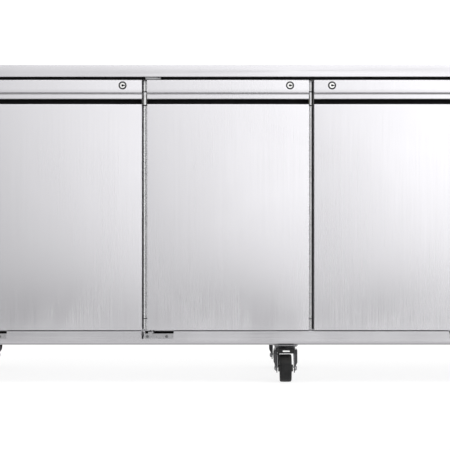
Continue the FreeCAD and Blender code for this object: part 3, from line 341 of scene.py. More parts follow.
STEEL = (0.68, 0.672, 0.697)
INNER_STEEL = (0.62, 0.617, 0.635)
MATERIALS = {
    "steel_upright": brushed_steel("steel_upright", STEEL, "z"),
    "steel_level": brushed_steel("steel_level", STEEL, "x"),
    # the rail's lower fold gets a painted shade
    "steel_rail": brushed_steel("steel_rail", (0.61, 0.603, 0.625), "x", roughness=0.17, stretch=0.0,
                                painted_shade_heights=(0.1145, 0.1025)),
    "steel_inner": brushed_steel("steel_inner", INNER_STEEL, "x", roughness=0.34),
    "zinc": plated("zinc", (0.58, 0.59, 0.6), 0.34),
    "hinge_steel": plated("hinge_steel", (0.36, 0.36, 0.37), 0.3),
    "zinc_bright": plated("zinc_bright", (0.93, 0.93, 0.93), 0.12),
    "zinc_dull": plated("zinc_dull", (0.26, 0.26, 0.27), 0.32),
    "screw_steel": plated("screw_steel", (0.15, 0.15, 0.155), 0.28),
    "dark_nickel": plated("dark_nickel", (0.045, 0.045, 0.048), 0.3),
    "lock_plug": plated("lock_plug", (0.83, 0.83, 0.82), 0.22),
    "black_plastic": moulded("black_plastic", (0.006, 0.006, 0.0065), 0.55, shine=0.15),
    "bush_plastic": moulded("bush_plastic", (0.03, 0.03, 0.03), 0.5),
    "pedal_plastic": moulded("pedal_plastic", (0.006, 0.006, 0.0065), 0.34, shine=0.25),
    "trim_steel": plated("trim_steel", (0.74, 0.74, 0.745), 0.26),
    "spacer_steel": plated("spacer_steel", (0.6, 0.6, 0.61), 0.16),
    # grey sheet that paints the shade deep in the door gaps
    "gap_shade_grey": moulded("gap_shade_grey", (0.13, 0.13, 0.135), 0.5),
    # black that paints the shade in the gap under the worktop, in the hinge pockets and at the bottom of the
    # keyways
    "shade_black": moulded("shade_black", (0.004, 0.004, 0.004), 0.6, shine=0.1),
    "black_chrome": plated("black_chrome", (0.055, 0.055, 0.058), 0.12),
    "gasket_rubber": moulded("gasket_rubber", (0.06, 0.06, 0.063), 0.55),
    "tread_rubber": moulded("tread_rubber", (0.01, 0.01, 0.0105), 0.55, grain=0.35, dust=0.2, shine=0.2),
    "pale_plastic": moulded("pale_plastic", (0.75, 0.75, 0.74), 0.4, grain=0.1),
    "hub_plastic": moulded("hub_plastic", (0.02, 0.02, 0.021), 0.4),
    "foam": closed_foam("foam", (0.8, 0.7, 0.42)),
    "shelf_coat": enamel("shelf_coat", (0.66, 0.67, 0.68), 0.32, dust=0.0),
    "cover_paint": enamel("cover_paint", (0.72, 0.73, 0.74), 0.38, dust=0.05),
    "black_enamel": enamel("black_enamel", (0.012, 0.012, 0.013), 0.28),
    "fan_plastic": moulded("fan_plastic", (0.025, 0.025, 0.027), 0.4, dust=0.2),
    "fins": sheet_fins("fins", (0.7, 0.71, 0.72)),
    "copper": drawn_copper("copper", (0.78, 0.38, 0.22)),
}

NODE_MATERIALS = {
    "worktop": "steel_level", "side_panels": "steel_upright", "back_panel": "steel_inner",
    "base_pan": "steel_inner", "foam_insulation": "foam", "inner_liner": "steel_inner",
    "front_frame": "steel_inner", "trim_strips": "trim_steel", "bottom_front_rail": "steel_rail",
    "hinge_brackets_and_keepers": "hinge_steel", "fasteners": "screw_steel",
    "shelf_supports": "steel_inner", "wire_shelves": "shelf_coat",
    "evaporator_coil": "fins", "evaporator_cover": "cover_paint", "evaporator_fan": "fan_plastic",
    "condenser_coil": "fins", "condenser_fan": "fan_plastic", "fan_motors": "black_enamel",
    "compressor": "black_enamel", "refrigerant_pipes": "copper", "machine_front_panel": "steel_upright",
    "controller": "black_plastic", "castor_plates": "zinc_dull",
}
for i in DOORS:
    for part, material in (("skin", "steel_upright"), ("handle_channel", "black_plastic"), ("foam", "foam"),
                           ("inner_panel", "steel_inner"), ("gasket", "gasket_rubber"),
                           ("hinge_bushes", "bush_plastic")):
        NODE_MATERIALS[f"door_{i}_{part}"] = material
    NODE_MATERIALS[f"lock_{i}_plug"] = "lock_plug"
for castor in CASTORS:
    NODE_MATERIALS[f"castor_{castor}_fork"] = "black_chrome"
    NODE_MATERIALS[f"castor_{castor}_wheel"] = "tread_rubber"
for castor in BRAKED:
    NODE_MATERIALS[f"castor_{castor}_brake_pedal"] = "pedal_plastic"

for name, material in NODE_MATERIALS.items():
    mesh = nodes[name].data
    mesh.materials.clear()
    mesh.materials.append(MATERIALS[material])


# ---------------------------------------------------------------- mesh tools


def finish_piece(name, shape, body, material, replaced=(), bevel=0.0, segments=3, angle=40.0,
                 sheet=0.0):
    """Makes the object of a piece from its bmesh, rounds and thickens it, and lets it ride on its body."""
    bmesh.ops.recalc_face_normals(shape, faces=shape.faces)
    for face in shape.faces:
        face.smooth = True
    for edge in shape.edges:
        if len(edge.link_faces) == 2 and edge.calc_face_angle(0.0) > math.radians(angle):
            edge.smooth = False
    mesh = bpy.data.meshes.new(name)
    shape.to_mesh(mesh)
    shape.free()
    piece = bpy.data.objects.new(name, mesh)
    bpy.context.scene.collection.objects.link(piece)
    mesh.materials.append(MATERIALS[material])
    if bevel:
        rounding = piece.modifiers.new("rounding", "BEVEL")
        rounding.width = bevel
        rounding.segments = segments
        rounding.limit_method = "ANGLE"
        rounding.angle_limit = math.radians(angle)
        rounding.harden_normals = True
    if sheet:
        thick = piece.modifiers.new("sheet", "SOLIDIFY")
        thick.thickness = sheet
        thick.offset = -1.0
    even = piece.modifiers.new("even_shading", "WEIGHTED_NORMAL")
    even.keep_sharp = True
    even.weight = 100
    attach(piece, body)
    if replaced:
        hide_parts(*replaced)


def add_box(shape, low, high):
    corners = [shape.verts.new((x, y, z)) for x in (low[0], high[0]) for y in (low[1], high[1])
               for z in (low[2], high[2])]
    for quad in ((0, 1, 3, 2), (4, 6, 7, 5), (0, 4, 5, 1), (2, 3, 7, 6), (0, 2, 6, 4), (1, 5, 7, 3)):
        shape.faces.new([corners[k] for k in quad])


def join_rings(shape, rings, closed=True):
    """Skins from each ring of vertices to the next one."""
    for a, b in zip(rings, rings[1:]):
        for k in range(len(a) if closed else len(a) - 1):
            n = (k + 1) % len(a)
            shape.faces.new((a[k], a[n], b[n], b[k]))


def add_strip(shape, profile, stations, place, closed=True):
    """Skins a profile over stations, and caps a closed one. place(station, point) gives each vertex."""
    rings = [[shape.verts.new(place(s, p)) for p in profile] for s in stations]
    join_rings(shape, rings, closed)
    if closed:
        shape.faces.new(rings[0])
        shape.faces.new(list(reversed(rings[-1])))
    return rings


def add_turned(shape, profile, centre, axis, steps=48):
    """Turns a profile of (radius, distance along the axis), in mm, round an axis through the centre."""
    axis = Vector(axis)
    side = axis.orthogonal().normalized()
    up = axis.cross(side)
    rings = []
    for n in range(steps):
        a = 2 * math.pi * n / steps
        out = side * math.cos(a) + up * math.sin(a)
        rings.append([shape.verts.new(Vector(centre) + out * r * MM + axis * d * MM) for r, d in profile])
    for n in range(steps):
        a, b = rings[n], rings[(n + 1) % steps]
        for k in range(len(profile) - 1):
            if profile[k][0] > 1e-9 or profile[k + 1][0] > 1e-9:
                shape.faces.new((a[k], a[k + 1], b[k + 1], b[k]))
    bmesh.ops.remove_doubles(shape, verts=shape.verts, dist=1e-7)


def arc(cx, cy, r, start, end, steps):
    """Points of an arc, in degrees."""
    return [(cx + r * math.cos(math.radians(start + (end - start) * n / steps)),
             cy + r * math.sin(math.radians(start + (end - start) * n / steps))) for n in range(steps + 1)]


# ---------------------------------------------------------------- doors


def door_place(i):
    """The door's left and right edges, its bottom and top, its front plane and its back plane."""
    low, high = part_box(f"door_{i}_inner_panel")
    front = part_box(f"door_{i}_skin")[0].y + RING_STAND * MM
    return low.x, high.x, low.z, high.z, front, low.y


def bulge(u, v):
    """How far the face stands forward at a share u of the width and v of the height."""
    upright = CROWN_AT_ENDS + (1 - CROWN_AT_ENDS) * (1 - (2 * v - 1) ** 2)
    return CROWN * MM * (1 - (2 * u - 1) ** 2) * upright


def lock_axis(i):
    """X and Z of the lock's axis."""
    low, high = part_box(f"lock_{i}_plug")
    x = low.x + PLUG_R * MM if LOCK_SIDES[i] > 0 else high.x - PLUG_R * MM
    return x, (low.z + high.z) / 2


def door_face(i):
    """The main panel: a crowned sheet folded back on all four sides."""
    x0, x1, z0, z1, front, back = door_place(i)
    top = z0 + PANEL_HEIGHT * MM
    r = TOP_RADIUS * MM
    profile = [(back, z0), (front + 0.4 * MM, z0)]
    profile += [(front, z0 + (top - r - z0) * k / UP) for k in range(UP + 1)]
    profile += arc(front + r, top - r, r, 180, 90, 6)[1:] + [(front + TOP_FOLD * MM, top)]
    shape = bmesh.new()

    def place(c, point):
        u = c / ACROSS
        v = min(max((point[1] - z0) / (top - z0), 0.0), 1.0)
        forward = bulge(u, v) if point[0] < front + FACE_DEPTH * MM else 0.0
        return (x0 + (x1 - x0) * u, point[0] - forward, point[1])

    rings = add_strip(shape, profile, range(ACROSS + 1), place, closed=False)
    for ring in (rings[0], rings[-1]):
        edge = ring[2:-2]
        behind = [shape.verts.new((v.co.x, back, v.co.z)) for v in edge]
        for k in range(len(edge) - 1):
            shape.faces.new((edge[k], edge[k + 1], behind[k + 1], behind[k]))
    bmesh.ops.remove_doubles(shape, verts=shape.verts, dist=1e-6)
    finish_piece(f"door_{i}_face", shape, f"door_{i}", "steel_upright", (f"door_{i}_skin",),
                 FOLD_RADIUS * MM, 4, 50.0, PANEL_SHEET * MM)


def pierce(shape, low, high):
    """Cuts through a sheet where both its faces lie between two corners, and closes the cut's edges."""
    inside = []
    for face in shape.faces:
        middle = face.calc_center_median()
        if all(low[k] < middle[k] < high[k] for k in range(3)):
            inside.append(face)
    rim = [edge for edge in {edge for face in inside for edge in face.edges}
           if sum(face in inside for face in edge.link_faces) == 1]
    bmesh.ops.delete(shape, geom=inside, context="FACES")
    bmesh.ops.bridge_loops(shape, edges=rim)


def door_band(i):
    """The top band, pierced for the lock and its cam, and below it the lip that the fingers pull."""
    x0, x1, z0, z1, front, back = door_place(i)
    s = SHEET * MM
    curl = BAND_CURL * MM
    low = z1 - BAND_HEIGHT * MM
    lip_low = low - LIP_HEIGHT * MM
    lip = front + LIP_SET_BACK * MM
    r = TOP_RADIUS * MM
    lock_x, lock_z = lock_axis(i)
    hole = LOCK_HOLE * MM
    side = LOCK_SIDES[i]
    slot_x = sorted((lock_x - side * CAM_SLOT[0] * MM, lock_x + side * CAM_SLOT[1] * MM))
    cam_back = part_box(f"lock_{i}_plug")[1].y
    slot_y = (cam_back - (CAM_THICK + CAM_ROOM) * MM, cam_back + CAM_ROOM * MM)
    turn = CURL_TURN * MM
    profile = [(back, z1 - s), (back, z1), (slot_y[1], z1), (slot_y[0], z1)]
    profile += arc(front + r, z1 - r, r, 90, 180, 6)
    profile += [(front, lock_z + hole), (front, lock_z - hole), (front, low + curl)]
    profile += arc(front + CURL_DEPTH * MM + turn, low + turn, turn, 180, 270, 3)
    profile += [(lip + s, low), (lip + s, low + s)]
    profile += [(front + s + CURL_DEPTH * MM, low + s), (front + s, low + curl)]
    profile += [(front + s, lock_z - hole), (front + s, lock_z + hole), (front + s, z1 - s)]
    profile += [(slot_y[0], z1 - s), (slot_y[1], z1 - s)]
    lip_top = low - GROOVE * MM
    lip_back = lip + LIP_BACK * MM
    lip_profile = [(lip_back, lip_top), (lip + 0.8 * MM, lip_top), (lip + 0.1 * MM, lip_top - 0.6 * MM)]
    lip_profile += [(lip + y * MM, lip_top - z * MM) for y, z in LIP_FACE]
    lip_profile += arc(lip + 1.1 * MM, lip_low + 0.9 * MM, 0.8 * MM, 180, 360, 7)
    lip_profile += [(lip + 1.9 * MM, lip_low + 4 * MM), (lip_back, lip_low + 5 * MM)]
    cuts = (lock_x - hole, lock_x + hole, *slot_x)
    stations = [c / ACROSS for c in range(ACROSS + 1)] + [(x - x0) / (x1 - x0) for x in cuts]
    shape = bmesh.new()

    def place(u, point):
        forward = bulge(u, 1.0) if point[0] < front + FACE_DEPTH * MM else 0.0
        return (x0 + (x1 - x0) * u, point[0] - forward, point[1])

    for outline in (profile, lip_profile):
        add_strip(shape, outline, sorted(stations), place)
    pierce(shape, (lock_x - hole, front - FACE_DEPTH * MM, lock_z - hole),
           (lock_x + hole, front + 3 * s, lock_z + hole))
    pierce(shape, (slot_x[0], slot_y[0], z1 - 2 * s), (slot_x[1], slot_y[1], z1 + s))
    for x in (x0, x1 - s):
        add_box(shape, (x, front + 2.5 * MM, low + s), (x + s, back, z1 - s))
    finish_piece(f"door_{i}_band", shape, f"door_{i}", "steel_upright", (f"door_{i}_skin",),
                 angle=50.0)


def door_lock(i):
    """The lock's ring with its sloping rim."""
    x, z = lock_axis(i)
    front = door_place(i)[4]
    shape = bmesh.new()
    add_turned(shape, RING_RIM, (x, front, z), (0, 1, 0), 64)
    finish_piece(f"door_{i}_lock_ring", shape, f"door_{i}", "dark_nickel", (f"door_{i}_skin",),
                 angle=50.0)


def door_gasket(i):
    """The magnetic gasket: a foot, a folded bellows and a sealing bulb, mitred at the corners."""
    low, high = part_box(f"door_{i}_gasket")
    width = GASKET_WIDTH
    depth = (high.y - low.y) / MM
    outline = [(0, 0), (0, 2.6), (1.6, 3.8), (4.0, 4.4), (3.2, 5.4), (4.0, 6.4), (1.2, 7.2), (0, 8.2),
               (0, depth - 2.0), (0.8, depth - 0.6), (2.4, depth), (6.5, depth), (8.0, depth - 0.5),
               (9.5, depth), (13.6, depth), (15.2, depth - 0.6), (width, depth - 2.0), (width, 8.2),
               (14.8, 7.2), (12.0, 6.4), (12.8, 5.4), (12.0, 4.4), (14.4, 3.8), (width, 2.6), (width, 0)]
    shape = bmesh.new()
    corners = [(low.x, low.z, 1, 1), (high.x, low.z, -1, 1), (high.x, high.z, -1, -1), (low.x, high.z, 1, -1)]
    rings = []
    for x, z, sx, sz in corners:
        rings.append([shape.verts.new((x + sx * a * MM, low.y + d * MM, z + sz * a * MM))
                      for a, d in outline])
    join_rings(shape, rings + rings[:1])
    finish_piece(f"door_{i}_seal", shape, f"door_{i}", "gasket_rubber", (f"door_{i}_gasket",),
                 0.35 * MM, 2, 30.0)


for i in DOORS:
    door_face(i)
    door_band(i)
    door_lock(i)
    door_gasket(i)


def lock_plug(i):
    """The keyed plug with its keyway, the stem behind it, and the cam that catches behind the keeper."""
    low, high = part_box(f"lock_{i}_plug")
    x, z = lock_axis(i)
    front, back = low.y, high.y
    angles = {a * 3.0 for a in range(120)} | {a * 0.75 % 360.0 for a in range(-40, 41)}  # closer at the slot
    angles = [math.radians(a) for a in sorted(angles)]

    def keyhole(a):
        if math.cos(a) <= 0:
            return KEY_R
        tail = min(KEY_TAIL / max(math.cos(a), 1e-6), KEY_SLOT / max(abs(math.sin(a)), 1e-6))
        return max(tail, KEY_R)

    def ring(radius, depth):
        return [shape.verts.new((x + radius(a) * MM * math.cos(a), front + depth * MM,
                                 z + radius(a) * MM * math.sin(a))) for a in angles]

    shape = bmesh.new()
    rings = [ring(lambda a, r=r: r, depth) for r, depth in PLUG_STEPS]
    rings += [ring(lambda a, less=less: keyhole(a) - less, depth)
              for less, depth in KEY_STEPS]
    join_rings(shape, rings)
    shape.faces.new(rings[0])
    finish_piece(f"lock_{i}_barrel", shape, f"lock_{i}", "lock_plug", (f"lock_{i}_plug",),
                 angle=35.0)
    # a black disc at the keyway's bottom paints the shade inside it
    shape = bmesh.new()
    shape.faces.new(ring(lambda a: KEY_TAIL + 0.3, KEY_DEPTH))
    finish_piece(f"lock_{i}_keyway", shape, f"lock_{i}", "shade_black", (f"lock_{i}_plug",))
    shape = bmesh.new()
    for radius, length in ((STEM_R, STEM_LENGTH), (CAM_HALF, CAM_THICK)):
        rod = [(0.0, -length), (radius, -length), (radius, 0.0), (0.0, 0.0)]
        add_turned(shape, rod, (x, back, z), (0, 1, 0), 32)
    ends = sorted((x, x + LOCK_SIDES[i] * CAM_REACH * MM))
    add_box(shape, (ends[0], back - CAM_THICK * MM, z - CAM_HALF * MM), (ends[1], back, z + CAM_HALF * MM))
    finish_piece(f"lock_{i}_cam", shape, f"lock_{i}", "zinc", (f"lock_{i}_plug",), 0.4 * MM)


for i in DOORS:
    lock_plug(i)


# ---------------------------------------------------------------- strips between and above the doors


def gap_strips():
    """Satin strips in the two door gaps, in lengths, with a raised rib away from the middle door.

    A thin grey backing beside them and between their lengths is painted shade, the dark of the deep gaps.
    """
    low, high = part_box("door_2_inner_panel")
    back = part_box("trim_strips")[1].y
    for side, edge in ((-1, low.x - STRIP_GAP * MM), (1, high.x + STRIP_GAP * MM)):
        w = STRIP_WIDTHS[side] * MM
        ends = sorted((edge + side * BACKING_REACH * MM, edge - side * (STRIP_GAP - 0.1) * MM))
        # grey sheet behind the strips: painted shade of the deep gap
        shape = bmesh.new()
        add_box(shape, (ends[0], back - BACKING_THICK * MM, low.z), (ends[1], back, high.z))
        finish_piece(f"gap_shade_backing_{'left' if side < 0 else 'right'}", shape, "cabinet", "gap_shade_grey",
                     ("trim_strips",))
        for n, (z0, z1, front) in enumerate(STRIP_LENGTHS):
            spacer = front < STRIP_FRONT
            step = (1.0 - (SPACER_RIB if spacer else STRIP_RIB)) * w
            y = front * MM
            outline = [(0.0, back), (0.0, y + 2.4 * MM), (step * 0.8, y + 2.2 * MM), (step, y + 0.4 * MM),
                       (step + 0.8 * MM, y), (w - 0.8 * MM, y), (w, y + 0.8 * MM), (w, back)]
            shape = bmesh.new()
            add_strip(shape, outline, (z0, z1), lambda z, q: (edge + side * q[0], q[1], z * MM))
            finish_piece(f"gap_strip_{'left' if side < 0 else 'right'}_{n + 1}", shape, "cabinet",
                         "spacer_steel" if spacer else "trim_steel", ("trim_strips",), 0.25 * MM, 2)


def hinge_span(i, outside, inside):
    """Low and high X of a stretch that reaches outside and inside a door's hinge edge."""
    low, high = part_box(f"door_{i}_inner_panel")
    if LOCK_SIDES[i] > 0:
        return low.x - outside * MM, low.x + inside * MM
    return high.x - inside * MM, high.x + outside * MM


def header_strip():
    """The black strip under the worktop, open where the hinges' arms pass, and black walls in the pockets of
    the lower hinges: both painted shade, standing in for the dark depth of the gap and of the pockets.
    """
    low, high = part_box("trim_strips")
    shape = bmesh.new()
    start = low.x
    for x0, x1 in [hinge_span(i, *ARM_OPENING) for i in DOORS] + [(high.x, high.x)]:
        add_box(shape, (start, low.y, high.z - HEADER_HEIGHT * MM), (x0, low.y + HEADER_THICK * MM, high.z))
        start = x1
    finish_piece("header_strip", shape, "cabinet", "shade_black", ("trim_strips",),
                 0.5 * MM, 2)
    shape = bmesh.new()
    for i in DOORS:
        x0, x1 = hinge_span(i, *POCKET_WALL)
        add_box(shape, (x0, POCKET_DEPTHS[0] * MM, POCKET_LEVELS[0] * MM),
                (x1, POCKET_DEPTHS[1] * MM, POCKET_LEVELS[1] * MM))
    finish_piece("hinge_pocket_walls", shape, "cabinet", "shade_black", ("trim_strips",))


gap_strips()
header_strip()


# ---------------------------------------------------------------- worktop


def worktop():
    """The folded top: rounded bends along every edge, welded corners and turned-under returns."""
    low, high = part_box("worktop")
    height = (high.z - low.z) / MM
    profile = [(TOP_RETURN, 0.0), (UNDER_BEND, 0.0)]
    for a in range(15, 91, 15):
        turn = math.radians(a)
        profile.append((UNDER_BEND - UNDER_BEND * math.sin(turn), UNDER_BEND - UNDER_BEND * math.cos(turn)))
    for a in range(0, 91, 10):
        turn = math.radians(a)
        profile.append((TOP_BEND - TOP_BEND * math.cos(turn), height - TOP_BEND + TOP_BEND * math.sin(turn)))
    profile.append((TOP_RING, height))
    corners = ((1, 1, 0), (-1, 1, 90), (-1, -1, 180), (1, -1, 270))
    shape = bmesh.new()
    rings = []
    for inset, up in profile:
        ring = []
        r = max(TOP_BEND - inset, 0.4)
        for sx, sy, start in corners:
            middle_x = (high.x if sx > 0 else low.x) - sx * (inset + r) * MM
            middle_y = (high.y if sy > 0 else low.y) - sy * (inset + r) * MM
            for x, y in arc(middle_x, middle_y, r * MM, start, start + 90, 5):
                ring.append(shape.verts.new((x, y, low.z + up * MM)))
        rings.append(ring)
    join_rings(shape, rings)
    shape.faces.new(rings[-1])
    finish_piece("worktop_sheet", shape, "cabinet", "steel_level", ("worktop",), angle=60.0,
                 sheet=TOP_SHEET * MM)


worktop()


# ---------------------------------------------------------------- castors


def both_sides(half):
    """A closed profile from the half on one side of a wheel's middle."""
    return [(r, -d) for r, d in half] + half[::-1] + [(half[0][0], -half[0][1])]


def castor_wheel(name):
    """Solid tyre with a slightly crowned tread, on a moulded hub with a dust cap each side."""
    low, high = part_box(f"castor_{name}_wheel")
    centre = (low + high) / 2
    body = f"castor_{name}_wheel"
    half_tyre = [(26.5, 13.5), (29.0, 15.2), (33.5, 15.9), (35.6, 15.2), (37.0, 13.2), (37.5, 9.0)]
    half_hub = [(4.15, 20.0), (9.0, 20.0), (9.5, 19.4), (9.5, 15.0), (12.0, 14.0), (13.0, 10.5), (22.0, 9.0),
                (25.0, 11.5), (26.6, 13.0)]
    shape = bmesh.new()
    add_turned(shape, both_sides(half_tyre), centre, (1, 0, 0), 72)
    finish_piece(f"castor_{name}_tyre", shape, body, "tread_rubber", (f"castor_{name}_wheel",),
                 angle=60.0)
    shape = bmesh.new()
    add_turned(shape, both_sides(half_hub), centre, (1, 0, 0), 48)
    finish_piece(f"castor_{name}_hub", shape, body, "hub_plastic", (f"castor_{name}_wheel",),
                 angle=60.0)


def castor_fork(name):
    """The fork: bearing drum, crown, two legs whose flanges run out above the axle, and its pins."""
    low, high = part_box(f"castor_{name}_wheel")
    axle = (low + high) / 2
    swivel = Vector((axle.x, axle.y + TRAIL * MM, 0))
    body = f"castor_{name}"

    near, far = CROWN_DEPTHS

    def leg_front(z):
        if z > KNEE_UP:
            return near
        return near - (TRAIL + LEG_END_R + near) * (KNEE_UP - z) / (KNEE_UP - AXLE_UP)

    def leg_back(z):
        if z > KNEE_UP:
            return KNEE_BACK + (far - KNEE_BACK) * (z - KNEE_UP) / (CROWN_LEVELS[1] - KNEE_UP)
        return KNEE_BACK - LEG_SLOPE * (KNEE_UP - z)

    def flange_reach(z):
        share = FLANGE_LEFT + (1 - FLANGE_LEFT) * (z - FLANGE_END) / FLANGE_TAPER
        return LEG_OUTSIDE + (CROWN_HALF - LEG_OUTSIDE) * min(share, 1.0)

    def at(x, y, z):
        return swivel + Vector((x, y, z)) * MM

    shape = bmesh.new()
    outline = []
    for sx, sy, start in ((1, 1, 0), (-1, 1, 90), (-1, -1, 180), (1, -1, 270)):
        y = far - CROWN_CORNER if sy > 0 else near + CROWN_CORNER
        outline += arc(sx * (CROWN_HALF - CROWN_CORNER), y, CROWN_CORNER, start, start + 90, 6)
    add_strip(shape, outline, CROWN_LEVELS, lambda z, q: at(q[0], q[1], z))
    drum = [(0.0, 88.0), (26.0, 88.0), (27.5, 90.5), (27.5, 93.0), (26.0, 96.4), (0.0, 96.4)]
    add_turned(shape, drum, swivel, (0, 0, 1), 48)
    side_view = [(far, LEG_TOP), (KNEE_BACK, KNEE_UP)]
    side_view += arc(-TRAIL, AXLE_UP, LEG_END_R, -LEG_HEEL, -180, 12)
    side_view += [(near, KNEE_UP), (near, LEG_TOP)]
    section = [(0.0, 0.0), (1.0, 0.0), (1.0, FLANGE_THICK), (0.0, FLANGE_THICK)]
    heights = [FLANGE_END + FLANGE_TAPER * k / 3 for k in range(4)] + list(FLANGE_LEVELS)
    for side in (-1, 1):
        add_strip(shape, side_view, (LEG_INSIDE, LEG_OUTSIDE), lambda x, q: at(side * x, q[0], q[1]))
        for edge, way in ((leg_front, 1), (leg_back, -1)):
            add_strip(shape, section, heights,
                      lambda z, q: at(side * (LEG_OUTSIDE + q[0] * (flange_reach(z) - LEG_OUTSIDE)),
                                      edge(z) + way * q[1], z))
    finish_piece(f"castor_{name}_frame", shape, body, "black_chrome", (f"castor_{name}_fork",),
                 0.4 * MM, 2)
    shape = bmesh.new()
    pins = [(axle, AXLE_R)] + ([(at(0, *PEDAL_PIN), PEDAL_PIN_R)] if name in BRAKED else [])
    for centre, radius in pins:
        pin = [(0.0, -LEG_OUTSIDE), (radius, -LEG_OUTSIDE), (radius, LEG_OUTSIDE), (0.0, LEG_OUTSIDE)]
        add_turned(shape, pin, centre, (1, 0, 0), 24)
    finish_piece(f"castor_{name}_pins", shape, body, "zinc_bright", (f"castor_{name}_fork",))
    # a paler strip down each leg's front edge, a painted highlight
    shape = bmesh.new()
    x0, x1 = LEG_INSIDE - 1.2, LEG_INSIDE + 0.8
    section = [(x0, -0.3), (x1, -0.3), (x1, 0.4), (x0, 0.4)]
    for side in (-1, 1):
        add_strip(shape, section, HIGHLIGHT_LEVELS, lambda z, q: at(side * q[0], leg_front(z) + q[1], z))
    finish_piece(f"castor_{name}_leg_highlights", shape, body, "zinc_dull", bevel=0.2 * MM)


def axle_caps(name):
    """The domed caps on the two ends of the axle bolt."""
    low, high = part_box(f"castor_{name}_wheel")
    centre = (low + high) / 2
    cap = [(0.0, 31.0), (3.0, 30.8), (5.5, 29.8), (7.2, 27.6), (7.7, 25.2), (0.0, 25.2)]
    shape = bmesh.new()
    for side in (-1, 1):
        add_turned(shape, cap, centre, (side, 0, 0), 32)
    finish_piece(f"castor_{name}_axle_caps", shape, f"castor_{name}", "zinc_dull", angle=50.0)


def pedal_marks(name):
    """The pale raised bar on the brake pedal's face, and a bright strip along its lower edge, a painted
    highlight.
    """
    low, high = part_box(f"castor_{name}_brake_pedal")
    middle = (low.x + high.x) / 2
    shape = bmesh.new()
    across, depth, level = PEDAL_BAR
    add_box(shape, (middle + across[0] * MM, low.y + depth[0] * MM, level[0] * MM),
            (middle + across[1] * MM, low.y + depth[1] * MM, level[1] * MM))
    finish_piece(f"castor_{name}_pedal_bar", shape, f"castor_{name}_brake_pedal", "pale_plastic",
                 bevel=0.7 * MM)
    # painted highlight along the pedal's lower edge
    shape = bmesh.new()
    inset, depth, level = PEDAL_HIGHLIGHT
    add_box(shape, (low.x + inset[0] * MM, low.y + depth[0] * MM, level[0] * MM),
            (high.x - inset[1] * MM, low.y + depth[1] * MM, level[1] * MM))
    finish_piece(f"castor_{name}_pedal_highlight", shape, f"castor_{name}_brake_pedal", "zinc_bright",
                 bevel=0.6 * MM)


for castor in CASTORS:
    castor_wheel(castor)
    castor_fork(castor)
    axle_caps(castor)
for castor in BRAKED:
    pedal_marks(castor)


# ---------------------------------------------------------------- camera, lights and floor

CAMERA_AT = Vector((-0.185, -5.805, 0.427))
DOOR_PLANE = -0.345
FRAME_WIDTH = 1.2164  # width seen at the doors' plane

# Light of the room, with the direction of each ray as a unit vector
SIDE_REACH = 0.42
LEFT_LIGHT = 0.42
RIGHT_LIGHT = 2.28
HORIZON_BAND = (-0.18, 0.04)
BELOW_LIGHT = 0.12
CEILING_BAND = (0.25, 0.7)
CEILING_LIGHT = 0.6
BEHIND_BAND = (-0.1, 0.3)
BACKDROP_BAND = (0.2, 0.5)
BACKDROP_LIGHT = 1.3
BACKDROP_TOP_LIGHT = 0.55
FLOOR_REACH = 5.0
FLOOR_FALL = (-2.02, -2.2)  # Y where the floor in front starts and stops to darken
FLOOR_NEAR = (0.3, 0.3, 0.3)
FLOOR_FAR = (0.1, 0.1, 0.1)
FLOOR_GLOW = 0.78

camera_data = bpy.data.cameras.new("camera")
camera_data.sensor_width = 36.0
camera_data.lens = 36.0 * (DOOR_PLANE - CAMERA_AT.y) / FRAME_WIDTH
camera_data.clip_end = 60.0
camera = bpy.data.objects.new("camera", camera_data)
camera.location = CAMERA_AT
camera.rotation_euler = (math.radians(90), 0, 0)
bpy.context.scene.collection.objects.link(camera)
bpy.context.scene.camera = camera
bpy.context.scene.view_settings.view_transform = "Standard"


def area_light(name, place, target, width, height, power):
    data = bpy.data.lights.new(name, "AREA")
    data.shape = "RECTANGLE"
    data.size = width
    data.size_y = height
    data.energy = power
    lamp = bpy.data.objects.new(name, data)
    lamp.location = place
    lamp.rotation_euler = (Vector(target) - Vector(place)).to_track_quat("-Z", "Y").to_euler()
    bpy.context.scene.collection.objects.link(lamp)


area_light("overhead_softbox", (0.4, -1.6, 3.4), (0, 0, 0.3), 4.0, 3.0, 30)


def between(tree, socket, low, high, to_low, to_high, smooth=True):
    """Carries a value from one range to another, held at its ends."""
    node = tree.nodes.new("ShaderNodeMapRange")
    if smooth:
        node.interpolation_type = "SMOOTHSTEP"
    node.inputs["From Min"].default_value = low
    node.inputs["From Max"].default_value = high
    node.inputs["To Min"].default_value = to_low
    node.inputs["To Max"].default_value = to_high
    tree.links.new(socket, node.inputs["Value"])
    return node.outputs["Result"]


def product(tree, a, b):
    node = tree.nodes.new("ShaderNodeMath")
    node.operation = "MULTIPLY"
    tree.links.new(a, node.inputs[0])
    tree.links.new(b, node.inputs[1])
    return node.outputs[0]


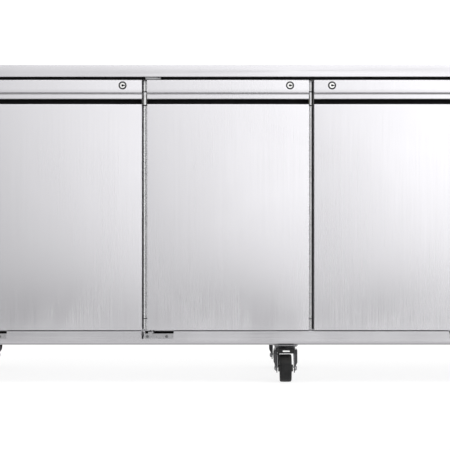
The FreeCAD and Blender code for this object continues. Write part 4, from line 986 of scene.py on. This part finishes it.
def studio_world():
    """White behind the object, and in front of it a room that is brighter to the right and above."""
    world = bpy.data.worlds.new("studio")
    world.use_nodes = True
    tree = world.node_tree
    background = tree.nodes["Background"]
    coords = tree.nodes.new("ShaderNodeTexCoord")
    split = tree.nodes.new("ShaderNodeSeparateXYZ")
    tree.links.new(coords.outputs["Generated"], split.inputs["Vector"])
    x, y, z = (split.outputs[axis] for axis in "XYZ")
    across = between(tree, x, -SIDE_REACH, SIDE_REACH, LEFT_LIGHT, RIGHT_LIGHT, smooth=False)
    rise = between(tree, z, *HORIZON_BAND, BELOW_LIGHT, 1.0)
    ceiling = between(tree, z, *CEILING_BAND, 1.0, CEILING_LIGHT)
    room = product(tree, product(tree, across, rise), ceiling)
    behind = between(tree, y, *BEHIND_BAND, 0.0, 1.0)
    mix = tree.nodes.new("ShaderNodeMix")
    mix.data_type = "FLOAT"
    tree.links.new(behind, mix.inputs["Factor"])
    tree.links.new(room, mix.inputs["A"])
    backdrop = between(tree, z, *BACKDROP_BAND, BACKDROP_LIGHT, BACKDROP_TOP_LIGHT)
    tree.links.new(backdrop, mix.inputs["B"])
    tree.links.new(mix.outputs["Result"], background.inputs["Strength"])
    background.inputs["Color"].default_value = (1.0, 1.0, 1.0, 1.0)
    bpy.context.scene.world = world


studio_world()


def floor():
    """A pale lit floor that falls off to grey well in front of the object."""
    mesh = bpy.data.meshes.new("floor")
    shape = bmesh.new()
    corners = ((-1, -1), (1, -1), (1, 1), (-1, 1))
    shape.faces.new([shape.verts.new((x * FLOOR_REACH, y * FLOOR_REACH, 0)) for x, y in corners])
    shape.to_mesh(mesh)
    shape.free()
    ground = bpy.data.objects.new("floor", mesh)
    s = Surface("floor", FLOOR_NEAR, roughness=0.8, Specular_IOR_Level=0.1)
    depth = s.node("ShaderNodeSeparateXYZ")
    s.join(s.coords, depth.inputs[0])
    away = s.remap(depth.outputs["Y"], *FLOOR_FALL, 0.0, 1.0)
    s.tint(away, FLOOR_FAR)
    s.tint(s.remap(s.noise((3, 3, 3)), 0.3, 0.7, 0.0, 0.06), FLOOR_FAR)
    s.shader.inputs["Emission Color"].default_value = (1.0, 1.0, 1.0, 1.0)
    s.join(s.remap(depth.outputs["Y"], *FLOOR_FALL, FLOOR_GLOW, 0.0), s.shader.inputs["Emission Strength"])
    mesh.materials.append(s.material)
    bpy.context.scene.collection.objects.link(ground)


floor()
